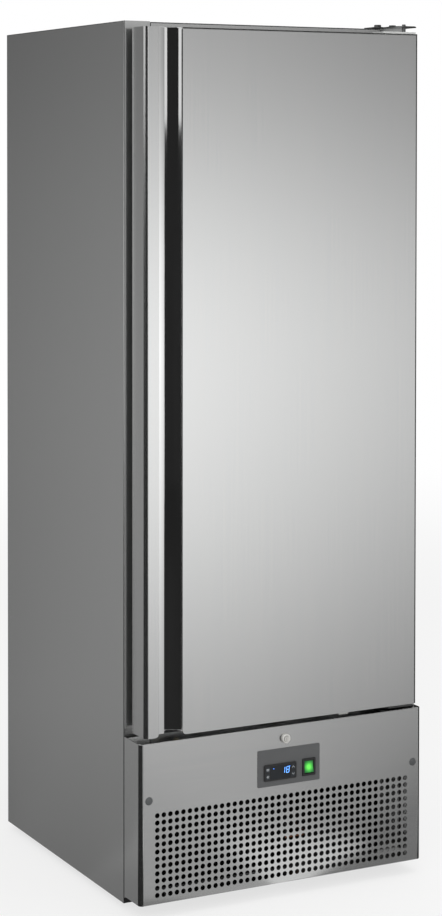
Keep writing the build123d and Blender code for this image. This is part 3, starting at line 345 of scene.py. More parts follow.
def softbox(name, place, target, width, power):
    lamp = bpy.data.lights.new(name, "AREA")
    lamp.shape, lamp.size, lamp.size_y, lamp.energy = "RECTANGLE", width, width, power
    holder = addToScene(name, lamp)
    holder.location = place
    holder.rotation_euler = (Vector(target) - Vector(place)).to_track_quat("-Z", "Y").to_euler()
    holder.visible_camera = holder.visible_glossy = False


def makeCamera():
    # camera fitted to the photograph's straight edges: place, turn and lens
    turn, pitch, roll = (radians(cameraFacts[key]) for key in ("turn", "pitch", "roll"))
    forward = Vector((sin(turn) * cos(pitch), cos(turn) * cos(pitch), sin(pitch)))
    level = Vector((cos(turn), -sin(turn), 0))
    upright = level.cross(forward)
    right = level * cos(roll) + upright * sin(roll)
    up = upright * cos(roll) - level * sin(roll)
    data = bpy.data.cameras.new("photoCamera")
    data.sensor_width, data.lens = cameraFacts["sensor"], cameraFacts["lens"]
    data.shift_x, data.shift_y = cameraFacts["shift"]
    camera = addToScene("photoCamera", data)
    turned = Matrix((right, up, -forward)).transposed().to_4x4()
    camera.matrix_world = Matrix.Translation(cameraFacts["place"]) @ turned
    bpy.context.scene.camera = camera


def makeWorld():
    # white to the eye and in reflections; as a light it is weaker, and the softboxes give the rest
    world = bpy.data.worlds.new("whiteStudio")
    world.use_nodes = True
    tree = world.node_tree
    path = addNode(tree, "ShaderNodeLightPath")
    seen = path.outputs["Is Camera Ray"]
    for kind in ("Is Glossy Ray", "Is Transmission Ray"):
        seen = addNode(tree, "ShaderNodeMath", {0: seen, 1: path.outputs[kind]}, operation="MAXIMUM")
    strength = addNode(tree, "ShaderNodeMapRange", {0: seen, 3: stageFacts["roomLight"], 4: 1.0})
    feed(tree.nodes["Background"], {"Color": (1, 1, 1, 1), "Strength": strength})
    bpy.context.scene.world = world


bpy.context.scene.view_settings.view_transform = "Standard"
makeCamera()
makeWorld()
makeFloor()
glowingCard = cardMaterial()
madeCards = {name: makeCard(name, facts) for name, facts in cards.items()}
madeCards["ceilingCard"] = makeCeiling("ceilingCard")
softbox("keySoftbox", (-1.9, -3.4, 2.6), (0.0, -0.2, 0.9), 1.6, 26.0)
softbox("topSoftbox", (0.9, -1.2, 4.0), (0.0, 0.0, 1.0), 2.2, 26.0)
print("stage, light and camera made")


# mesh helpers

def addPiece(name, mesh, body, slotName, material, *replaced, smooth=32):
    # a mesh, or the bmesh that becomes it, as a piece that rides on its body
    if isinstance(mesh, bmesh.types.BMesh):
        shape, mesh = mesh, bpy.data.meshes.new(name)
        shape.to_mesh(mesh)
        shape.free()
    piece = addToScene(name, mesh)
    mesh.materials.clear()
    mesh.materials.append(material)
    mesh.shade_smooth()
    mesh.set_sharp_from_angle(angle=radians(smooth))
    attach(piece, body)
    if replaced:
        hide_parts(*replaced)
    return piece


def meshPiece(name, shape, *facts, smooth=32):
    bmesh.ops.recalc_face_normals(shape, faces=shape.faces)
    return addPiece(name, shape, *facts, smooth=smooth)


def splitFaces(shape, test):
    # takes the faces whose normals pass the test out, into a shape of their own
    shape.normal_update()
    apart = shape.copy()
    for half, kept in ((apart, True), (shape, False)):
        gone = [face for face in half.faces if bool(test(face.normal)) != kept]
        bmesh.ops.delete(half, geom=gone, context="FACES")
    return apart


def inPlane(part, axis, place):
    # whether all of an edge or face lies at one place along the axis
    return all(abs(vert.co[axis] - place) < 1e-5 for vert in part.verts)


def addBlock(shape, low, high, bevel=0.0, segments=3):
    made = bmesh.ops.create_cube(shape, size=1.0)["verts"]
    for vert in made:
        vert.co = Vector([low[i] + (vert.co[i] + 0.5) * (high[i] - low[i]) for i in range(3)])
    if bevel:
        edges = {edge for vert in made for edge in vert.link_edges}
        bmesh.ops.bevel(shape, geom=list(edges), offset=bevel, segments=segments, profile=0.5, affect="EDGES")


def addLoops(shape, loops, caps=(0, -1)):
    # a skin over closed loops of points; a loop of one point is a tip, and caps close the loops they name
    rings = [[shape.verts.new(point) for point in loop] for loop in loops]
    for before, after in zip(rings, rings[1:]):
        steps = max(len(before), len(after))
        for i in range(steps):
            j = (i + 1) % steps
            corners = [before[i % len(before)], before[j % len(before)], after[j % len(after)], after[i % len(after)]]
            shape.faces.new(list(dict.fromkeys(corners)))
    for end in caps:
        shape.faces.new(rings[end])
    return rings


def addTurned(shape, axis, centre, profile, steps=48):
    # profile is a list of radius and distance along the axis, y or z, from one end to the other
    x, y, z = centre
    loops = []
    for radius, along in profile:
        ring = ringPoints(x, z if axis == "y" else y, radius, steps if radius else 1)
        loops.append([(a, y + along, b) if axis == "y" else (a, b, z + along) for a, b in ring])
    addLoops(shape, loops, ())


def addPlate(shape, outline, front, back):
    # an outline in x and z, pushed from front to back
    addLoops(shape, [[(a, y, b) for a, b in outline] for y in (front, back)])


def joinedCopy(nodeName):
    # the CAD solid with its triangles joined up into flats
    shape = bmesh.new()
    shape.from_mesh(nodes[nodeName].data)
    bmesh.ops.remove_doubles(shape, verts=shape.verts, dist=0.00001)
    bmesh.ops.dissolve_limit(shape, angle_limit=radians(1.0), verts=shape.verts, edges=shape.edges)
    return shape


def easeEdges(piece, width, segments=2, angle=50):
    eased = piece.modifiers.new("easedEdges", "BEVEL")
    eased.width, eased.segments, eased.limit_method, eased.angle_limit = width, segments, "ANGLE", radians(angle)
    eased.harden_normals = True


def dressedCopy(nodeName, slotName, material, bevel, segments=2, smooth=32, angle=40):
    # the joined copy with its edges eased by a small bevel
    name, body = nodeName + "Dressed", nodes[nodeName]["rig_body"]
    piece = addPiece(name, joinedCopy(nodeName), body, slotName, material, nodeName, smooth=smooth)
    if bevel:
        easeEdges(piece, bevel, segments, angle)


def nodeTree(name, inputs):
    # an empty tree with its named inputs, and what adds a node to it
    tree = bpy.data.node_groups.new(name, "GeometryNodeTree")
    for label, kind in {"Geometry": "Geometry", **inputs, "Material": "Material"}.items():
        tree.interface.new_socket(label, in_out="INPUT", socket_type="NodeSocket" + kind)
    tree.interface.new_socket("Geometry", in_out="OUTPUT", socket_type="NodeSocketGeometry")
    return tree, tree.nodes.new("NodeGroupInput").outputs, partial(addNode, tree)


def closeTree(tree, geometry, material):
    real = addNode(tree, "GeometryNodeRealizeInstances", {0: geometry})
    painted = addNode(tree, "GeometryNodeSetMaterial", {"Geometry": real, "Material": material})
    addNode(tree, "NodeGroupOutput", {0: painted})
    return tree


def growPiece(name, seedMesh, tree, values, body, slotName, material, *replaced, smooth=32):
    # runs a node tree on a seed mesh and keeps the result as a plain mesh
    seed = addToScene(name + "Seed", seedMesh)
    modifier = seed.modifiers.new("grow", "NODES")
    modifier.node_group = tree
    values["Material"] = material
    for socket in tree.interface.items_tree:
        if socket.in_out == "INPUT" and socket.name in values:
            modifier[socket.identifier] = values[socket.name]
    seed.update_tag()
    depsgraph = bpy.context.evaluated_depsgraph_get()
    mesh = bpy.data.meshes.new_from_object(seed.evaluated_get(depsgraph))
    mesh.name = name
    seed.modifiers.clear()
    bpy.data.objects.remove(seed)
    return addPiece(name, mesh, body, slotName, material, *replaced, smooth=smooth)


def edgeLoops(name, loops):
    # closed outlines in one flat mesh, as the seed of a sheet with cut-outs
    verts, edges = [], []
    for loop in loops:
        start = len(verts)
        verts += [(a, b, 0) for a, b in loop]
        edges += [(start + i, start + (i + 1) % len(loop)) for i in range(len(loop))]
    mesh = bpy.data.meshes.new(name)
    mesh.from_pydata(verts, edges, [])
    return mesh


def rectangle(box, growX, growZ):
    # the box's outline from the front, grown or drawn in
    x0, x1, z0, z1 = box[0].x - growX, box[1].x + growX, box[0].z - growZ, box[1].z + growZ
    return [(x0, z0), (x1, z0), (x1, z1), (x0, z1)]


def softRectangle(low, high, radius, steps=6):
    points = []
    for cx, cz, start in ((high.x - radius, high.z - radius, 0), (low.x + radius, high.z - radius, 90),
                          (low.x + radius, low.z + radius, 180), (high.x - radius, low.z + radius, 270)):
        for i in range(steps + 1):
            angle = radians(start + 90 * i / steps)
            points.append((cx + radius * cos(angle), cz + radius * sin(angle)))
    return points


# base panel: folded sheet with round holes

basePanel = {"holeDiameter": 10.6 * mm, "holeSides": 20, "pitch": 15.0 * mm, "columns": 41, "rows": 12,
             "fieldBottom": 18.5 * mm, "sheet": 1.2 * mm, "corner": 8.4 * mm, "sideGap": 2.0 * mm, "fold": 1.4 * mm,
             "topLip": 62 * mm, "bottomLip": 60 * mm, "camSlot": 8 * mm, "camReach": 48 * mm, "camBehind": 4 * mm,
             "camBefore": 2 * mm, "lockHole": 8.1 * mm, "caseGap": 0.5 * mm, "bezelOverlap": 2 * mm}


def perforatedTree():
    tree, given, add = nodeTree("perforatedSheet", {
        "Hole diameter": "Float", "Pitch": "Float", "Columns": "Int", "Rows": "Int", "Field centre": "Vector",
        "Sheet": "Float", "Place": "Vector"})
    outlines = add("GeometryNodeMeshToCurve", {"Mesh": given["Geometry"]})
    spans = []
    for count in ("Columns", "Rows"):
        gaps = add("ShaderNodeMath", {0: given[count], 1: 1.0}, operation="SUBTRACT")
        spans.append(add("ShaderNodeMath", {0: gaps, 1: given["Pitch"]}, operation="MULTIPLY"))
    grid = add("GeometryNodeMeshGrid", {
        "Size X": spans[0], "Size Y": spans[1], "Vertices X": given["Columns"], "Vertices Y": given["Rows"]})
    moved = add("GeometryNodeTransform", {"Geometry": grid, "Translation": given["Field centre"]})
    radius = add("ShaderNodeMath", {0: given["Hole diameter"], 1: 0.5}, operation="MULTIPLY")
    hole = add("GeometryNodeCurvePrimitiveCircle", {"Resolution": basePanel["holeSides"], "Radius": radius})
    holes = add("GeometryNodeInstanceOnPoints", {"Points": moved, "Instance": hole})
    loose = add("GeometryNodeRealizeInstances", {0: holes})
    together = add("GeometryNodeJoinGeometry", {0: [outlines, loose]})
    sheet = add("GeometryNodeFillCurve", {"Curve": together})
    raised = add("GeometryNodeExtrudeMesh", {"Mesh": sheet, "Offset Scale": given["Sheet"], "Individual": False})
    back = add("GeometryNodeFlipFaces", {"Mesh": sheet})
    closed = add("GeometryNodeJoinGeometry", {0: [raised, back]})
    merged = add("GeometryNodeMergeByDistance", {"Geometry": closed, "Distance": 0.000005})
    upright = add("GeometryNodeTransform", {
        "Geometry": merged, "Translation": given["Place"], "Rotation": (pi / 2, 0, 0)})
    return closeTree(tree, upright, given["Material"])


def cutCamSlot(lip, lockX, rise):
    # the slot in the top lip that lets the lock's cam turn up through it
    camBack, side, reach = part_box("lock_core")[1].y, basePanel["camSlot"], basePanel["camReach"]
    across = (lockX - sqrt(reach ** 2 - (rise - basePanel["sheet"]) ** 2) - side, lockX + side)
    deep = (camBack - basePanel["camBehind"], camBack + basePanel["camBefore"])
    for normal, places in (((1, 0, 0), across), ((0, 1, 0), deep)):
        for place in places:
            everything = lip.verts[:] + lip.edges[:] + lip.faces[:]
            point = Vector(normal) * place
            bmesh.ops.bisect_plane(lip, geom=everything, plane_co=point, plane_no=normal)
    middles = [(face, face.calc_center_median()) for face in lip.faces]
    slot = [face for face, at in middles if across[0] < at.x < across[1] and deep[0] < at.y < deep[1]]
    bmesh.ops.delete(lip, geom=slot, context="FACES_ONLY")


def foldedShell(low, high):
    # outer skin of the returns and lips, with the flat front left out for the perforated sheet
    shape = bmesh.new()
    addBlock(shape, low, (high.x, high.y - basePanel["sideGap"], high.z))
    bmesh.ops.delete(shape, geom=[face for face in shape.faces if face.normal.y > 0.5], context="FACES_ONLY")
    corners = [edge for edge in shape.edges
               if inPlane(edge, 1, low.y) and (inPlane(edge, 0, low.x) or inPlane(edge, 0, high.x))]
    bmesh.ops.bevel(shape, geom=corners, offset=basePanel["corner"], segments=7, profile=0.5, affect="EDGES")
    rims = [edge for edge in shape.edges
            if len(edge.link_faces) == 2 and (inPlane(edge, 2, low.z) or inPlane(edge, 2, high.z))]
    bmesh.ops.bevel(shape, geom=rims, offset=basePanel["fold"], segments=4, profile=0.5, affect="EDGES")
    front = [face for face in shape.faces if face.normal.y < -0.999 and face.calc_area() > 0.05]
    bmesh.ops.delete(shape, geom=front, context="FACES_ONLY")
    for height, end in ((high.z, low.y + basePanel["topLip"]), (low.z, low.y + basePanel["bottomLip"])):
        flat = [face for face in shape.faces if inPlane(face, 2, height)]
        around = {part for face in flat for part in [face, *face.edges, *face.verts]}
        bmesh.ops.bisect_plane(shape, geom=list(around), plane_co=(0, end, 0), plane_no=(0, 1, 0))
        behind = [face for face in shape.faces if inPlane(face, 2, height) and face.calc_center_median().y > end]
        bmesh.ops.delete(shape, geom=behind, context="FACES_ONLY")
    bmesh.ops.recalc_face_normals(shape, faces=shape.faces)
    return shape


def makeBasePanel():
    low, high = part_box("base_front_panel")
    sheet, overlap, gap = basePanel["sheet"], basePanel["bezelOverlap"], basePanel["caseGap"]
    lock = middleOf("lock_barrel")
    loops = [rectangle((low, high), -basePanel["corner"], -basePanel["fold"]),
             rectangle(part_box("controller_case"), gap, gap), rectangle(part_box("switch_bezel"), -overlap, -overlap),
             ringPoints(lock.x, lock.z, basePanel["lockHole"])]
    centreZ = low.z + basePanel["fieldBottom"] + (basePanel["rows"] - 1) / 2 * basePanel["pitch"]
    growPiece("basePanelFront", edgeLoops("basePanelOutline", loops), perforatedTree(), {
        "Hole diameter": basePanel["holeDiameter"], "Pitch": basePanel["pitch"], "Columns": basePanel["columns"],
        "Rows": basePanel["rows"], "Field centre": (0.0, centreZ, 0.0), "Sheet": sheet,
        "Place": (0.0, low.y + sheet, 0.0)},
        "cabinet", "door_stainless", panelSteel, "base_front_panel", smooth=25)

    shape = foldedShell(low, high)
    parts = {"basePanelReturns": shape}
    for name, test in (("basePanelCorners", lambda n: n.y < -0.05 and abs(n.x) > 0.05 and abs(n.z) < 0.9),
                       ("basePanelTopLip", lambda n: n.z > 0.95), ("basePanelBottomLip", lambda n: n.z < -0.95),
                       ("basePanelRightReturn", lambda n: n.x > 0.95)):
        parts[name] = splitFaces(shape, test)
    cutCamSlot(parts["basePanelTopLip"], lock.x, high.z - lock.z)
    for name, part in parts.items():
        shell = addPiece(name, part, "cabinet", "door_stainless", panelSteel, smooth=40)
        wall = shell.modifiers.new("sheet", "SOLIDIFY")
        wall.thickness, wall.offset = sheet, -1.0
        shell.modifiers.new("flatNormals", "WEIGHTED_NORMAL").keep_sharp = True

    # painted shade: black strips behind the gap at the back of each return, standing for the shadow in that gap
    gapShade = bmesh.new()
    for side in (-1, 1):
        middle = side * (high.x - 3 * mm)
        addBlock(gapShade, (middle - mm, high.y - 6 * mm, low.z + 2 * mm),
                 (middle + mm, high.y - 0.2 * mm, high.z - 2 * mm), 0.3 * mm)
    meshPiece("basePanelSeals", gapShade, "cabinet", "black_rubber", blackRubber)


makeBasePanel()
print("base panel made")


# finger channel: polished strip with a steep wall, a root and one long sweep

channelFacts = {"border": 12.0 * mm, "bend": 0.8 * mm, "depth": 22.0 * mm, "root": 4.0 * mm, "sheet": 1.5 * mm}


def makeChannel():
    low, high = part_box("handle_channel")
    front, bend, depth, root = low.y, channelFacts["bend"], channelFacts["depth"], channelFacts["root"]
    left = low.x + channelFacts["border"]
    run = high.x - left - root
    radius = (run ** 2 + depth ** 2) / (2 * depth)
    floorY, centreX = front + depth, left + root
    outer = [(low.x, front), (left - bend, front)]
    for i in range(1, 5):  # the strip's bend into the channel
        angle = radians(90 * i / 5)
        outer.append((left - bend + bend * sin(angle), front + bend * (1 - cos(angle))))
    outer.append((left, front + bend))
    for i in range(13):
        angle = radians(90 * i / 12)
        outer.append((centreX - root * cos(angle), floorY - root + root * sin(angle)))
    sweep = atan2(run, radius - depth)
    for i in range(1, 49):
        angle = sweep * i / 48
        outer.append((centreX + radius * sin(angle), floorY - radius + radius * cos(angle)))

    inner = []
    for i, (x, y) in enumerate(outer):  # the sheet's other face, square to the line through the neighbours
        before, after = Vector(outer[max(i - 1, 0)]), Vector(outer[min(i + 1, len(outer) - 1)])
        along = (after - before).normalized()
        inner.append((x - along.y * channelFacts["sheet"], y + along.x * channelFacts["sheet"]))
    shape = bmesh.new()
    addLoops(shape, [[(x, y, z) for x, y in outer + inner[::-1]] for z in (low.z, high.z)])
    meshPiece("fingerChannel", shape, "door", "polished_stainless", polishedSteel, "handle_channel", smooth=50)


makeChannel()
print("finger channel made")


# lock, caps and controls

lockFacts = {"rim": 1.2 * mm, "keyway": (2.0 * mm, 6.5 * mm), "keywayDepth": 3 * mm, "plugRadius": 5.0 * mm,
             "plugGap": 0.6 * mm, "proud": 3.5 * mm, "shank": 8.0 * mm, "camLength": 46 * mm, "camRadius": 6 * mm,
             "camThickness": 1.95 * mm}
capFacts = {"dome": 2.4 * mm}
switchFacts = {"edge": 1.0 * mm, "rim": 0.6 * mm, "frameHeight": 4.9 * mm, "gap": 0.25 * mm, "depth": 12 * mm,
               "rockerEase": 0.8 * mm}
displayFacts = {"digitHeight": 12.6 * mm, "digitWidth": 6.2 * mm, "stroke": 1.3 * mm, "gap": 3.4 * mm, "slant": 0.1,
                "centre": (-0.4 * mm, 3.0 * mm), "lamp": (-29.5 * mm, 8.4 * mm), "lensBorder": (1.6 * mm, 3.2 * mm),
                "lensProud": 0.25 * mm}
keyFacts = {"mark": 2.8 * mm, "stroke": 0.8 * mm, "bars": 1.7 * mm, "ink": 0.05 * mm}


def makeLock():
    low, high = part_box("lock_barrel")
    coreLow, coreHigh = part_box("lock_core")
    x, _, z = middleOf("lock_barrel")
    radius, rim, plug, shank = (high.x - low.x) / 2, lockFacts["rim"], lockFacts["plugRadius"], lockFacts["shank"]
    y, inner = low.y - lockFacts["proud"], plug + lockFacts["plugGap"]
    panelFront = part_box("base_front_panel")[0].y
    shape = bmesh.new()
    addTurned(shape, "y", (x, y, z), [
        (inner, high.y - y), (inner, 0.9 * mm), (inner + 0.5 * mm, 0.3 * mm), (radius - rim - 0.6 * mm, 0.0),
        (radius - rim, 0.1 * mm), (radius - 0.4 * mm, 0.8 * mm), (radius, 1.6 * mm), (radius, panelFront - y),
        (shank, panelFront - y), (shank, high.y - y), (inner, high.y - y)], 64)
    bmesh.ops.remove_doubles(shape, verts=shape.verts, dist=1e-7)
    bmesh.ops.recalc_face_normals(shape, faces=shape.faces)
    sleeve = splitFaces(shape, lambda n: abs(n.y) < 0.6)
    addPiece("lockBarrel", shape, "cabinet", "lock_chrome", nickelPlate, "lock_barrel", smooth=30)
    addPiece("lockSleeve", sleeve, "cabinet", "lock_chrome", nickelPlate, smooth=30)

    # plug with a face round the keyway, and the keyway's walls
    shape = bmesh.new()
    y, ease = coreLow.y - lockFacts["proud"], 0.3 * mm
    wide, tall = lockFacts["keyway"][0] / 2, lockFacts["keyway"][1] / 2
    keyway = [(wide, -tall), (wide, tall), (-wide, tall), (-wide, -tall)]
    plugEnds = ((plug - ease, y), (plug, y + ease), (plug, coreHigh.y - 2 * mm))
    face = addLoops(shape, [[(a, t, b) for a, b in ringPoints(x, z, r)] for r, t in plugEnds], (-1,))[0]
    slot = [[(x + a, y + deep, z + b) for a, b in keyway] for deep in (0, lockFacts["keywayDepth"])]
    mouth = addLoops(shape, slot, (-1,))[0]
    rims = [shape.edges.get(pair) for ring in (face, mouth) for pair in zip(ring, ring[1:] + ring[:1])]
    bmesh.ops.triangle_fill(shape, edges=rims, use_beauty=True)
    meshPiece("lockPlug", shape, "lock_core", "lock_chrome", nickelPlate, "lock_core", smooth=30)

    shape = bmesh.new()
    reach, end = lockFacts["camLength"], lockFacts["camRadius"]
    outline = [(x - reach + end * (1 - cos(radians(a))), z + end * sin(radians(a))) for a in range(-90, 91, 15)]
    outline += [(x + end * sin(radians(a)), z + end * cos(radians(a))) for a in range(0, 181, 15)]
    addPlate(shape, outline, coreHigh.y - lockFacts["camThickness"], coreHigh.y)
    bmesh.ops.remove_doubles(shape, verts=shape.verts, dist=1e-6)
    meshPiece("lockCam", shape, "lock_core", "lock_chrome", zincPlate)


def makeCaps():
    low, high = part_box("screw_caps")
    radius, depth, z = (high.z - low.z) / 2, high.y - low.y, (low.z + high.z) / 2
    dome = [(radius * sin(radians(a)), capFacts["dome"] * (1 - cos(radians(a)))) for a in range(15, 91, 15)]
    shape = bmesh.new()
    for x in (low.x + radius, high.x - radius):
        addTurned(shape, "y", (x, low.y, z), [(0, 0)] + dome + [(radius, depth), (0, depth)], 40)
    meshPiece("screwCaps", shape, "cabinet", "grey_plastic", capAbs, "screw_caps", smooth=40)


def makeControls():
    plate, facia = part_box("control_plate"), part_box("controller_facia")
    aside, above = displayFacts["lensBorder"]
    lensFront = facia[0].y - displayFacts["lensProud"]
    lens = (Vector((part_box("key_left_upper")[1].x + aside, lensFront, facia[0].z + above)),
            Vector((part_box("key_right_upper")[0].x - aside, facia[0].y + 0.5 * mm, facia[1].z - above)))
    for name, (low, high), radius, slotName, material, ease, segments, *replaced in (
            ("controlPlate", plate, 2.5, "grey_plastic", overlayFoil, 0.35, 2, "control_plate"),
            ("controllerFrame", facia, 3.0, "display_plastic", blackAbs, 0.9, 3, "controller_facia"),
            ("displayLens", lens, 1.6, "display_plastic", displayLens, 0.12, 2)):
        shape = bmesh.new()
        addPlate(shape, softRectangle(low, high, radius * mm), low.y, high.y)
        piece = meshPiece(name, shape, "cabinet", slotName, material, *replaced, smooth=40)
        easeEdges(piece, ease * mm, segments)
    makeDigits((lens[0].z + lens[1].z) / 2, lensFront)
    for name, mark in (("key_left_upper", "set"), ("key_left_lower", "defrost"), ("key_right_upper", "up"),
                       ("key_right_lower", "down")):
        makeKey(name, mark)
    makeSwitchFrame(plate[0].y)
    dressedCopy("switch_rocker", "green_plastic", greenLens, switchFacts["rockerEase"], 3, 50)


def makeSwitchFrame(plateFront):
    bezelLow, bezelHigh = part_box("switch_bezel")
    rockerLow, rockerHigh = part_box("switch_rocker")
    tall, gap, y = switchFacts["frameHeight"], switchFacts["gap"], bezelLow.y
    outer = softRectangle(bezelLow, bezelHigh, 1.5 * mm, 4)
    inner = softRectangle(Vector((rockerLow.x - gap, 0, bezelLow.z + tall)),
                          Vector((rockerHigh.x + gap, 0, bezelHigh.z - tall)), 0.2 * mm, 4)
    levels = [(outer, plateFront), (outer, y + switchFacts["edge"]), (shrink(outer, switchFacts["rim"]), y),
              (shrink(inner, -0.5 * mm), y), (inner, y + 0.5 * mm), (inner, plateFront + switchFacts["depth"])]
    shape = bmesh.new()
    addLoops(shape, [[(a, t, b) for a, b in loop] for loop, t in levels])
    meshPiece("switchFrame", shape, "cabinet", "black_plastic", blackAbs, "switch_bezel", smooth=35)


def shrink(loop, distance):
    # moves a softRectangle's points towards its middle, by the distance on each side
    cx, cz = (sum(point[k] for point in loop) / len(loop) for k in (0, 1))
    halfX, halfZ = max(abs(a - cx) for a, b in loop), max(abs(b - cz) for a, b in loop)
    return [(cx + (a - cx) * (halfX - distance) / halfX, cz + (b - cz) * (halfZ - distance) / halfZ) for a, b in loop]


def makeDigits(lensMiddle, y):
    # two lit digits with a degree ring and a small lamp; each segment has a paler heart
    tall, wide, stroke, gap = (displayFacts[k] for k in ("digitHeight", "digitWidth", "stroke", "gap"))
    centreX, above = displayFacts["centre"]
    middle = lensMiddle + above
    lampX, lampRise = displayFacts["lamp"]
    segments = {"a": (0, 1, 1, 1), "b": (1, 0.5, 1, 1), "c": (1, 0, 1, 0.5), "d": (0, 0, 1, 0), "e": (0, 0, 0, 0.5),
                "f": (0, 0.5, 0, 1), "g": (0, 0.5, 1, 0.5)}
    digits = {"1": "bc", "8": "abcdefg"}
    for name, width, proud, material in (("displayDigits", stroke, 0.06 * mm, blueSegments),
                                         ("displayDigitHearts", stroke * 0.45, 0.1 * mm, blueHeart)):
        shape = bmesh.new()
        for place, digit in enumerate("18"):
            x0 = centreX - wide - gap / 2 + place * (wide + gap) - (0.15 * wide if digit == "1" else 0)
            for key in digits[digit]:
                ax, az, bx, bz = segments[key]
                start, end = (Vector((x0 + a * wide, middle + (b - 0.5) * tall)) for a, b in ((ax, az), (bx, bz)))
                along = (end - start).normalized()
                side, point = Vector((-along.y, along.x)) * width / 2, along * width / 2
                start, end = start + along * stroke * 0.55, end - along * stroke * 0.55
                outline = [start - point, start + side, end + side, end + point, end - side, start - side]
                outline = [(p.x + (p.y - middle) * displayFacts["slant"], p.y) for p in outline]
                addPlate(shape, outline, y - proud, y + 0.05 * mm)
        for x, z in ((centreX + wide + gap, middle + tall / 2 + 0.4 * mm), (lampX, lensMiddle + lampRise)):
            addPlate(shape, ringPoints(x, z, width * 0.75, 16), y - proud, y + 0.05 * mm)
        meshPiece(name, shape, "cabinet", "display_plastic", material)


def makeKey(nodeName, mark):
    dressedCopy(nodeName, "display_plastic", keyFoil, 0.45 * mm, 3, angle=30)
    x, _, z = middleOf(nodeName)
    y, size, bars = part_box(nodeName)[0].y, keyFacts["mark"], keyFacts["bars"]
    if mark in ("up", "down"):
        tip = size * 0.6 if mark == "up" else -size * 0.6
        lines = [((-size, -tip), (0, tip)), ((size, -tip), (0, tip))]
    elif mark == "set":
        lines = [((-size, rise), (size, rise)) for rise in (bars, 0, -bars)]
    else:
        ends = [Vector((cos(radians(angle)), sin(radians(angle)))) * size for angle in (0, 60, 120)]
        lines = [(-end, end) for end in ends]
    shape = bmesh.new()
    for start, end in lines:
        start, end = Vector(start), Vector(end)
        along = (end - start).normalized() * keyFacts["stroke"] / 2
        side = Vector((-along.y, along.x))
        outline = [start - along - side, end + along - side, end + along + side, start - along + side]
        addPlate(shape, [(x + p.x, z + p.y) for p in outline], y - keyFacts["ink"], y + keyFacts["ink"])
    meshPiece(nodeName + "Mark", shape, nodes[nodeName]["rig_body"], "display_plastic", printedGrey)


makeLock()
makeCaps()
makeControls()
print("lock, caps and controls made")


# hinge hardware

boltFacts = {"acrossFlats": 15.0 * mm, "washer": 26.0 * mm, "sheet": 1.4 * mm, "head": 4.8 * mm,
             "hingePlate": 2.5 * mm, "places": (322 * mm, 284 * mm), "behindFront": 20 * mm, "legThickness": 4 * mm,
             "pinRadius": 4.0 * mm, "pinDepth": 18 * mm}


def boltHead(shape, axis, centre, sign):
    # hexagon head whose corners are turned down at the outer end
    corner, tall = boltFacts["acrossFlats"] / sqrt(3), boltFacts["head"]
    levels = [(corner, 0.0), (corner, tall - 1.2 * mm), (corner * 0.93, tall - 0.4 * mm), (corner * 0.86, tall)]
    addTurned(shape, axis, centre, [(0, 0)] + [(r, sign * t) for r, t in levels] + [(0, sign * tall)], 6)


def makeHinge():
    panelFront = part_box("side_panel_left")[0].y
    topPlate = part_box("top_hinge_bracket")[0].z + boltFacts["hingePlate"]
    topY, legY = panelFront + boltFacts["behindFront"], panelFront - boltFacts["legThickness"]
    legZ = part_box("hinge_bolts")[0].z + boltFacts["acrossFlats"] / 2
    radius, sheet = boltFacts["washer"] / 2, boltFacts["sheet"]
    washer = [(0, 0), (radius - 0.2 * mm, 0), (radius, 0.2 * mm), (radius, sheet - 0.3 * mm),
              (radius - 0.3 * mm, sheet), (0, sheet)]
    shape = bmesh.new()
    for x in boltFacts["places"]:
        addTurned(shape, "z", (x, topY, topPlate), washer)
        boltHead(shape, "z", (x, topY, topPlate + sheet), 1)
        boltHead(shape, "y", (x, legY, legZ), -1)
    meshPiece("hingeBolts", shape, "cabinet", "zinc_hardware", darkZinc, "hinge_bolts", smooth=30)

    x, y, _ = middleOf("hinge_pins")
    pinLow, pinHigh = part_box("hinge_pins")
    doorLow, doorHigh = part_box("door_skin")
    radius, ease, depth = boltFacts["pinRadius"], 0.5 * mm, boltFacts["pinDepth"]
    shape = bmesh.new()
    for start, end in ((pinLow.z, doorLow.z + depth), (doorHigh.z - depth, pinHigh.z)):
        addTurned(shape, "z", (x, y, start), [
            (0, 0), (radius - ease, 0), (radius, ease), (radius, end - start - ease), (radius - ease, end - start),
            (0, end - start)], 32)
    meshPiece("hingePins", shape, "cabinet", "zinc_hardware", darkZinc, "hinge_pins", smooth=40)

    shape = joinedCopy("top_hinge_bracket")
    for vert in shape.verts:
        vert.co.z = min(vert.co.z, topPlate)
    plate = addPiece("topHingePlate", shape, "cabinet", "zinc_hardware", darkZinc, "top_hinge_bracket")
    easeEdges(plate, 0.6 * mm, 2, 40)


makeHinge()
print("hinge hardware made")


# door sheet, handle lip and cabinet sheets: CAD copies whose outer folds get a rounder edge, as strips of their own

foldFacts = {"radius": 3.0 * mm, "sideRadius": 2.0 * mm, "topRadius": 2.2 * mm, "seamDepth": 1.4 * mm,
             "seamEase": 0.25 * mm, "wall": 60 * mm, "seamWidth": 2.4 * mm}


def roundFolds(shape, radius, segments, onEdge):
    outer = [edge for edge in shape.edges if onEdge(edge)]
    bmesh.ops.bevel(shape, geom=outer, offset=radius, segments=segments, profile=0.5, affect="EDGES")


def makeDoorSheet():
    low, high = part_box("door_skin")
    shape = joinedCopy("door_skin")
    roundFolds(shape, foldFacts["radius"], 6, lambda edge: inPlane(edge, 1, low.y) and inPlane(edge, 2, high.z))
    folds = splitFaces(shape, lambda n: n.y < -0.05 and (n.z > 0.05 or n.x > 0.05))
    topFold = splitFaces(folds, lambda n: n.z > n.x)
    easeEdges(addPiece("doorSkin", shape, "door", "door_stainless", doorSteel, "door_skin"), 0.3 * mm, 2, 60)
    for name, part in (("doorSkinSideFold", folds), ("doorSkinTopFold", topFold)):
        addPiece(name, part, "door", "door_stainless", doorSteel, smooth=60)


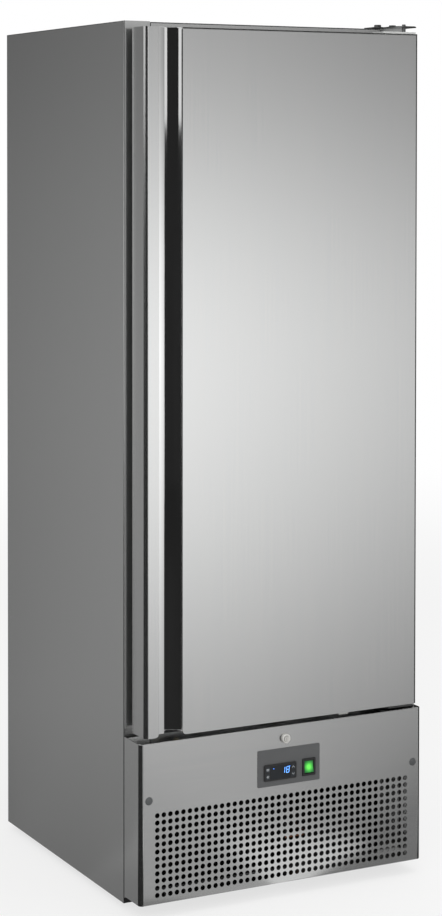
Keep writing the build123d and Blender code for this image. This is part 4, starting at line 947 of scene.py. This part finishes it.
def makeCabinetSheet(nodeName, name, radius, onEdge):
    shape = joinedCopy(nodeName)
    roundFolds(shape, radius, 5, onEdge)
    folds = splitFaces(shape, lambda n: max(abs(n.x), abs(n.y), abs(n.z)) < 0.999)
    easeEdges(addPiece(name, shape, "cabinet", "cabinet_stainless", sideSteel, nodeName), 0.3 * mm, 2, 60)
    addPiece(name + "Folds", folds, "cabinet", "cabinet_stainless", sideSteel, smooth=60)


def makeCabinetSheets():
    for side, nodeName, name in ((0, "side_panel_left", "sideSheetLeft"), (1, "side_panel_right", "sideSheetRight")):
        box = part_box(nodeName)
        outerX, front, top = box[side].x, box[0].y, box[1].z
        makeCabinetSheet(nodeName, name, foldFacts["sideRadius"], lambda edge: inPlane(edge, 0, outerX) and all(
            abs(v.co.y - front) < 1e-5 or abs(v.co.z - top) < 1e-5 for v in edge.verts))
    low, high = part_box("top_panel")
    makeCabinetSheet("top_panel", "topPanel", foldFacts["topRadius"],
                     lambda edge: inPlane(edge, 1, low.y) and inPlane(edge, 2, high.z))


def makeLip():
    shape = joinedCopy("handle_lip")
    corner = splitFaces(shape, lambda n: n.y < -0.03 and n.x < -0.03)
    easeEdges(addPiece("handleLip", shape, "door", "door_stainless", doorSteel, "handle_lip"), 0.4 * mm, 2, 60)
    addPiece("handleLipCorner", corner, "door", "door_stainless", doorSteel, smooth=60)


def makeSeamShade():
    # painted shade: near-black blocks in the seams between sheets, standing for the shadow there, where bare foam
    # would show
    skinLow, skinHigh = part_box("door_skin")
    floorLow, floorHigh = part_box("floor_panel")
    left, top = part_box("side_panel_left")[0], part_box("top_panel")[1].z
    ease, depth, wall = foldFacts["seamEase"], foldFacts["seamDepth"], foldFacts["wall"]
    seamX, half = -left.x - wall - mm, foldFacts["seamWidth"] / 2
    shape = bmesh.new()
    for middle in (-seamX, seamX):
        for bottom, end in ((top - wall, top - mm), (floorLow.z, floorHigh.z)):
            addBlock(shape, (middle - half, left.y + ease, bottom), (middle + half, left.y + depth, end))
    meshPiece("cabinetSeams", shape, "cabinet", "black_rubber", seamShadeFill)
    shape = bmesh.new()
    # painted shade along the door sheet's left edge and under its lower left corner
    addBlock(shape, (skinLow.x - 0.7 * mm, skinLow.y + ease, skinLow.z + 10 * mm),
             (skinLow.x + 0.3 * mm, skinLow.y + depth, skinHigh.z - 2 * mm))
    addBlock(shape, (skinLow.x, skinHigh.y - 9 * mm, skinLow.z + 0.2 * mm),
             (skinLow.x + 16 * mm, skinHigh.y - 0.1 * mm, skinLow.z + 2 * mm))
    meshPiece("doorSeam", shape, "door", "black_rubber", seamShadeFill)


makeDoorSheet()
makeCabinetSheets()
makeLip()
makeSeamShade()
print("door sheet, lip and seams made")


# shelves, coils, fans, compressor and tubes

shelfFacts = {"wires": 24, "wire": 3.4 * mm, "rim": 6.0 * mm, "rods": 4, "rod": 4.2 * mm, "rodSpread": 0.6}
coilFacts = {"evaporatorPitch": 7.5 * mm, "condenserPitch": 4.5 * mm, "fin": 0.5 * mm, "endPlate": 1.2 * mm,
             "tube": 9.5 * mm, "rowPitch": 30.0 * mm, "reach": 16.0 * mm}
fanFacts = {"blades": 4, "hub": 21.0 * mm, "hubLength": 20 * mm, "shaft": 3 * mm, "front": 1.2 * mm, "blade": 1.6 * mm,
            "rootPitch": 38.0, "tipPitch": 22.0, "camber": 3.0 * mm, "chord": (20, 10), "tipChord": 0.8, "twist": 0.62}
compressorFacts = {"flange": 2.0 * mm, "flangeHeight": 7.0 * mm, "dome": 46.0 * mm, "terminal": (50 * mm, 60 * mm),
                   "behind": 93 * mm, "plate": 4 * mm, "plateHalf": 65 * mm, "terminalDepth": 22 * mm}
tubeFacts = {"radius": 4.0 * mm, "bend": 18.0 * mm, "drier": 10.0 * mm, "drierBase": 147 * mm, "seat": 14 * mm,
             "port": 4.6 * mm, "highPort": 249 * mm, "over": 299 * mm, "stub": (41 * mm, 30 * mm),
             "liquid": (70 * mm, 60 * mm), "suctionRise": 50 * mm, "suctionBack": 90 * mm}


def wireShelfTree():
    # each row has its count, the places of its first and last wire, the ends of one wire, and a diameter
    rows = ("Wires", "Drops", "Rods", "Front rod")
    inputs = {"Width": "Float", "Depth": "Float", "Rim diameter": "Float", "Place": "Vector"}
    for row in rows:
        inputs.update({row: "Int", row + " diameter": "Float"})
        inputs.update({row + part: "Vector" for part in (" first", " last", " start", " end")})
    tree, given, add = nodeTree("wireShelf", inputs)
    rim = add("GeometryNodeCurvePrimitiveQuadrilateral", {"Width": given["Width"], "Height": given["Depth"]})
    bend = add("ShaderNodeMath", {0: given["Rim diameter"], 1: 2.0}, operation="MULTIPLY")
    rounded = add("GeometryNodeFilletCurve", {"Curve": rim, "Radius": bend, "Count": 4}, mode="POLY")
    paths = [(rounded, given["Rim diameter"])]
    for row in rows:
        line = add("GeometryNodeCurvePrimitiveLine", {"Start": given[row + " start"], "End": given[row + " end"]})
        points = add("GeometryNodeMeshLine", {
            "Count": given[row], "Start Location": given[row + " first"], "Offset": given[row + " last"]},
            mode="END_POINTS")
        copies = add("GeometryNodeInstanceOnPoints", {"Points": points, "Instance": line})
        paths.append((add("GeometryNodeRealizeInstances", {0: copies}), given[row + " diameter"]))
    wires = []
    for path, diameter in paths:
        radius = add("ShaderNodeMath", {0: diameter, 1: 0.5}, operation="MULTIPLY")
        ring = add("GeometryNodeCurvePrimitiveCircle", {"Resolution": 8, "Radius": radius})
        wires.append(add("GeometryNodeCurveToMesh", {"Curve": path, "Profile Curve": ring, "Fill Caps": True}))
    together = add("GeometryNodeJoinGeometry", {0: wires})
    moved = add("GeometryNodeTransform", {"Geometry": together, "Translation": given["Place"]})
    return closeTree(tree, moved, given["Material"])


def makeShelves():
    tree = wireShelfTree()
    wires, wire, rim, rods, rod, spread = shelfFacts.values()
    for name in ("shelf_1", "shelf_2", "shelf_3"):
        low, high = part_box(name)
        wide, deep, drop = (high.x - low.x - rim) / 2, (high.y - low.y - rim) / 2, high.z - low.z
        end, lowZ = wide - 2 * wide / (wires + 1), (rod + rim) / 2 - drop
        wireZ, rodZ = (rim - wire) / 2, (rod - rim) / 2
        values = {"Width": 2 * wide, "Depth": 2 * deep, "Rim diameter": rim,
                  "Place": (0.0, (low.y + high.y) / 2, high.z - rim / 2)}
        for row, count, diameter, *vectors in (
                ("Wires", wires, wire, (-end, 0, wireZ), (end, 0, wireZ), (0, -deep, 0), (0, deep, 0)),
                ("Drops", wires, wire, (-end, 0, wireZ), (end, 0, wireZ), (0, -deep, 0), (0, -deep, -drop)),
                ("Rods", rods, rod, (0, -deep * spread, rodZ), (0, deep * spread, rodZ), (-wide, 0, 0), (wide, 0, 0)),
                ("Front rod", 1, rod, (0, -deep, lowZ), (0, -deep, lowZ), (-wide, 0, 0), (wide, 0, 0))):
            values.update({row: count, row + " diameter": diameter})
            for part, vector in zip((" first", " last", " start", " end"), vectors):
                values[row + part] = tuple(float(v) for v in vector)
        growPiece(name.replace("_", "Wire"), bpy.data.meshes.new(name + "Seed"), tree, values,
                  nodes[name]["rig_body"], "coated_wire", coatedWire, name, smooth=60)


def finTree():
    tree, given, add = nodeTree("finBlock", {"Fins": "Int", "First": "Vector", "Last": "Vector", "Fin size": "Vector"})
    points = add("GeometryNodeMeshLine", {
        "Count": given["Fins"], "Start Location": given["First"], "Offset": given["Last"]}, mode="END_POINTS")
    fin = add("GeometryNodeMeshCube", {"Size": given["Fin size"]})
    copies = add("GeometryNodeInstanceOnPoints", {"Points": points, "Instance": fin})
    return closeTree(tree, copies, given["Material"])


def addTube(shape, corners, radius, bend, steps=12):
    # a round tube along straight runs, with each corner rounded to the bend radius
    corners = [Vector(corner) for corner in corners]
    path = [corners[0]]
    for before, corner, after in zip(corners, corners[1:], corners[2:]):
        towards, away = (before - corner).normalized(), (after - corner).normalized()
        centre = corner + (towards + away) * bend
        for i in range(9):
            turn = radians(90 * i / 8)
            path.append(centre - away * bend * cos(turn) - towards * bend * sin(turn))
    path.append(corners[-1])
    rings, side = [], None
    for i, point in enumerate(path):
        along = (path[min(i + 1, len(path) - 1)] - path[max(i - 1, 0)]).normalized()
        if side is None:
            side = along.orthogonal()
        side = (side - along * side.dot(along)).normalized()
        upright = along.cross(side)
        rings.append([point + side * a + upright * b for a, b in ringPoints(0, 0, radius, steps)])
    addLoops(shape, rings)


def makeCoil(nodeName, finName, pitch, slotName, material, columns, tree):
    # thin fins on straight tubes that turn back at each end; the tubes are a piece of their own
    low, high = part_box(nodeName)
    reach, plate, radius = coilFacts["reach"], coilFacts["endPlate"], coilFacts["tube"] / 2
    body, middle, half = nodes[nodeName]["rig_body"], (low + high) / 2, (high.x - low.x) / 2 - reach
    growPiece(finName, bpy.data.meshes.new(finName + "Seed"), tree, {
        "Fins": int(2 * half / pitch) + 1, "First": (middle.x - half, middle.y, middle.z),
        "Last": (middle.x + half, middle.y, middle.z), "Fin size": (coilFacts["fin"], high.y - low.y, high.z - low.z)},
        body, slotName, material, nodeName, smooth=30)
    shape = bmesh.new()
    rows = int((high.z - low.z) / coilFacts["rowPitch"] / 2)
    step = (high.z - low.z) / (2 * rows)
    left, right = low.x + radius, high.x - radius
    for column in range(columns):
        y = low.y + (column + 0.5) * (high.y - low.y) / columns
        for row in range(rows):
            z = low.z + step * (2 * row + 0.5)
            corners = [(left + reach, y, z), (right, y, z), (right, y, z + step)]
            if row < rows - 1:
                corners += [(left, y, z + step), (left, y, z + 2 * step), (left + reach, y, z + 2 * step)]
            else:
                corners.append((left + reach, y, z + step))
            addTube(shape, corners, radius, step * 0.45)
    for x in (low.x + reach - plate, high.x - reach):
        addBlock(shape, (x, low.y, low.z), (x + plate, high.y, high.z), 0.3 * mm)
    meshPiece(finName + "Tubes", shape, body, slotName, material, smooth=50)


def bladeSection(share, turn, middle, limits, x, z, reach):
    # one closed section of a twisted and cambered blade, from the hub (share 0) to the tip (share 1)
    hub, root = fanFacts["hub"], fanFacts["hub"] - 2 * mm
    radius = root + (reach - root) * share
    chord = (fanFacts["chord"][0] + fanFacts["chord"][1] * sin(pi * min(share * 0.62 + 0.1, 1))) * mm
    if share == 1:
        chord *= fanFacts["tipChord"]
    pitch = radians(fanFacts["rootPitch"] + (fanFacts["tipPitch"] - fanFacts["rootPitch"]) * share)
    section = []
    for side in (1, -1):
        for k in range(7):
            place = (k / 6 * 2 - 1) * side
            a = chord * place
            b = fanFacts["camber"] * (1 - place ** 2) + side * fanFacts["blade"] / 2 * (1 - 0.75 * place ** 4)
            across, along = a * cos(pitch) - b * sin(pitch), a * sin(pitch) + b * cos(pitch)
            angle = turn + across / max(radius, hub)
            y = min(max(middle + along * fanFacts["twist"], limits[0]), limits[1])
            section.append((x + radius * cos(angle), y, z + radius * sin(angle)))
    return section


def makeFan(nodeName, name):
    low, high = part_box(nodeName)
    x, _, z = middleOf(nodeName)
    hub, shaft, length = fanFacts["hub"], fanFacts["shaft"], fanFacts["hubLength"]
    front = low.y + fanFacts["front"]
    shape = bmesh.new()
    addTurned(shape, "y", (x, front, z), [
        (0, 0), (hub - 3 * mm, 0), (hub - 0.9 * mm, 0.9 * mm), (hub, 3 * mm), (hub, length), (shaft, length),
        (shaft, high.y - front), (0, high.y - front)])
    for blade in range(fanFacts["blades"]):
        turn, limits = 2 * pi * blade / fanFacts["blades"], (low.y, front + length)
        addLoops(shape, [bladeSection(i / 8, turn, front + length / 2, limits, x, z, (high.z - low.z) / 2)
                         for i in range(9)])
    meshPiece(name, shape, nodes[nodeName]["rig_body"], "black_plastic", blackAbs, nodeName, smooth=40)


def makeCompressor():
    low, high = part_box("compressor")
    bead, dome, half = compressorFacts["flange"], compressorFacts["dome"], compressorFacts["flangeHeight"] / 2
    plateTop, plateHalf = low.z + compressorFacts["plate"], compressorFacts["plateHalf"]
    x, y, middle = (low.x + high.x) / 2, high.y - compressorFacts["behind"], (plateTop + high.z) / 2
    radius, base = y - low.y, low.z + 3 * mm
    wall = radius - bead
    curve = [(wall * sin(radians(90 * i / 8)) ** 0.6, dome * (1 - cos(radians(90 * i / 8)))) for i in range(1, 9)]
    profile = [(0, base)] + [(r, base + rise) for r, rise in curve]
    profile += [(wall, middle - half - 1.5 * mm), (radius, middle - half), (radius, middle + half),
                (wall, middle + half + 1.5 * mm)]
    profile += [(r, high.z - rise) for r, rise in reversed(curve)] + [(0, high.z)]
    shape = bmesh.new()
    addTurned(shape, "z", (x, y, 0), profile, 64)
    addBlock(shape, (low.x, y - plateHalf, low.z), (high.x, y + plateHalf, plateTop), 1.0 * mm)
    wide, tall = compressorFacts["terminal"]
    addBlock(shape, (x - wide / 2, high.y - compressorFacts["terminalDepth"], middle - tall / 2),
             (x + wide / 2, high.y, middle + tall / 2), 4 * mm, 4)
    meshPiece("compressorShell", shape, nodes["compressor"]["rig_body"], "black_paint", blackEnamel, "compressor",
              smooth=40)


def makeTubes():
    # the routes of the discharge, liquid and suction lines, from the ends of the CAD tubes
    low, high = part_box("refrigerant_tubes")
    shellTop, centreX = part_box("compressor")[1].z, middleOf("compressor").x
    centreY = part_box("compressor")[1].y - compressorFacts["behind"]
    radius, over, highPort = tubeFacts["radius"], tubeFacts["over"], tubeFacts["highPort"]
    start, top = shellTop - tubeFacts["seat"], shellTop + tubeFacts["suctionRise"]
    portX, portY, lowPort = low.x, low.y + tubeFacts["port"], low.z + tubeFacts["port"]
    stubX, stubY = tubeFacts["stub"]
    inX, inY, outX, outY = centreX - stubX, centreY - stubY, centreX + stubX, centreY + stubY
    liquidX, liquidY = portX + tubeFacts["liquid"][0], portY + tubeFacts["liquid"][1]
    back = outY + tubeFacts["suctionBack"]
    shape = bmesh.new()
    for route in ([(inX, inY, start), (inX, inY, over), (inX, portY, over), (inX, portY, highPort),
                   (portX, portY, highPort)],
                  [(portX, portY, lowPort), (liquidX, portY, lowPort), (liquidX, liquidY, lowPort),
                   (liquidX, liquidY, high.z)],
                  [(outX, outY, start), (outX, outY, top), (outX, back, top), (outX, back, high.z)]):
        addTube(shape, route, radius, tubeFacts["bend"])
    drier = tubeFacts["drier"]
    addTurned(shape, "z", (liquidX, liquidY, tubeFacts["drierBase"]), [
        (radius, 0), (drier - mm, 8 * mm), (drier, 11 * mm), (drier, 79 * mm), (drier - mm, 82 * mm),
        (radius, 90 * mm)], 32)
    meshPiece("refrigerantLines", shape, nodes["refrigerant_tubes"]["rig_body"], "copper_tube", copper,
              "refrigerant_tubes", smooth=40)


makeShelves()
finBlocks = finTree()
makeCoil("evaporator", "evaporatorFins", coilFacts["evaporatorPitch"], "coil_aluminium", finAluminium, 5, finBlocks)
# black paint, common on condensers, that here also stands in as painted shade for the dark space behind the perforated
# front
makeCoil("condenser", "condenserFins", coilFacts["condenserPitch"], "black_paint", blackEnamel, 2, finBlocks)
makeFan("evaporator_fan", "evaporatorRotor")
makeFan("condenser_fan", "condenserRotor")
makeCompressor()
makeTubes()
print("interior and refrigeration pieces made")


# pieces that keep their CAD shape and get eased edges: for each slot and material, the bevels in millimetres

dressed = (
    ("polished_stainless", polishedSteel, {"handle_end_caps": 0.3}),
    ("white_plastic", paleAbs, {"door_hinge_plates": 0.6}),
    ("zinc_hardware", darkZinc, {"bottom_hinge_bracket": 0.8}),
    ("zinc_hardware", zincPlate, {"door_tab": 0.6, "shelf_clips": 0.5}),
    ("galvanised", innerSteel, {"floor_panel": 0.3}),
    ("white_plastic", whiteAbs, {"breaker_strips": 0.6, "drip_tray": 0.7, "evaporator_cover": 0.5}),
    ("gasket_rubber", gasketPvc, {"door_gasket": 1.2}),
    ("cabinet_stainless", innerSteel, {"door_liner": 0.0, "inner_liner": 0.0, "shelf_pilasters": 0.5}),
    ("black_plastic", blackAbs, {
        "controller_case": 1.0, "mains_gland": 0.8, "foot_front_left": 1.0, "foot_front_right": 1.0,
        "foot_rear_left": 1.0, "foot_rear_right": 1.0}),
    ("grey_plastic", greyAbs, {"electrical_box": 1.5, "hinge_bushes": 0.4}),
    ("galvanised", zincSheet, {"rear_grille": 0.0, "back_panel": 0.0, "condenser_shroud": 0.3}),
    # painted shade: the base tray is black so that the space behind the perforated front reads dark; the fan motors
    # are black paint
    ("black_paint", blackEnamel, {"base_tray": 0.4, "evaporator_fan_motor": 0.6, "condenser_fan_motor": 0.6}),
    ("black_rubber", blackRubber, {"compressor_mounts": 1.2}),
)
for slotName, material, bevels in dressed:
    for nodeName, bevel in bevels.items():
        dressedCopy(nodeName, slotName, material, bevel * mm)
for nodeName in ("cabinet_insulation", "door_foam"):
    nodes[nodeName].data.materials.clear()
    nodes[nodeName].data.materials.append(polyurethane)
print("sheet pieces dressed")

# what each card is hidden from: narrow folds, grooves and flanks that look dark in the photograph
darkFolds = ("doorSkinTopFold", "topPanelFolds", "basePanelTopLip", "basePanelBottomLip")
darkLeft = ("fingerChannel", "handleLipCorner", "handle_end_capsDressed", "basePanelCorners", "lockSleeve",
            "sideSheetLeftFolds", "basePanelRightReturn") + darkFolds
hidden = {
    "frontLeftNearCard": ("fingerChannel", "lockSleeve", "basePanelRightReturn") + darkFolds,
    "frontLeftFarCard": darkLeft,
    "leftCard": darkLeft,
    "rearLeftCard": ("basePanelTopLip", "lockSleeve", "sideSheetLeftFolds"),
    "frontRightCard": ("basePanelRightReturn",) + darkFolds,
    "rightCard": ("fingerChannel", "doorSkinSideFold", "basePanelCorners", "hingeBolts", "topHingePlate") + darkFolds,
    "ceilingCard": ("doorSkinSideFold", "topHingePlate", "hingeBolts", "sideSheetLeftFolds") + darkFolds,
}
for cardName, pieceNames in hidden.items():
    hideGlowFrom(madeCards[cardName], [bpy.data.objects[name] for name in pieceNames])
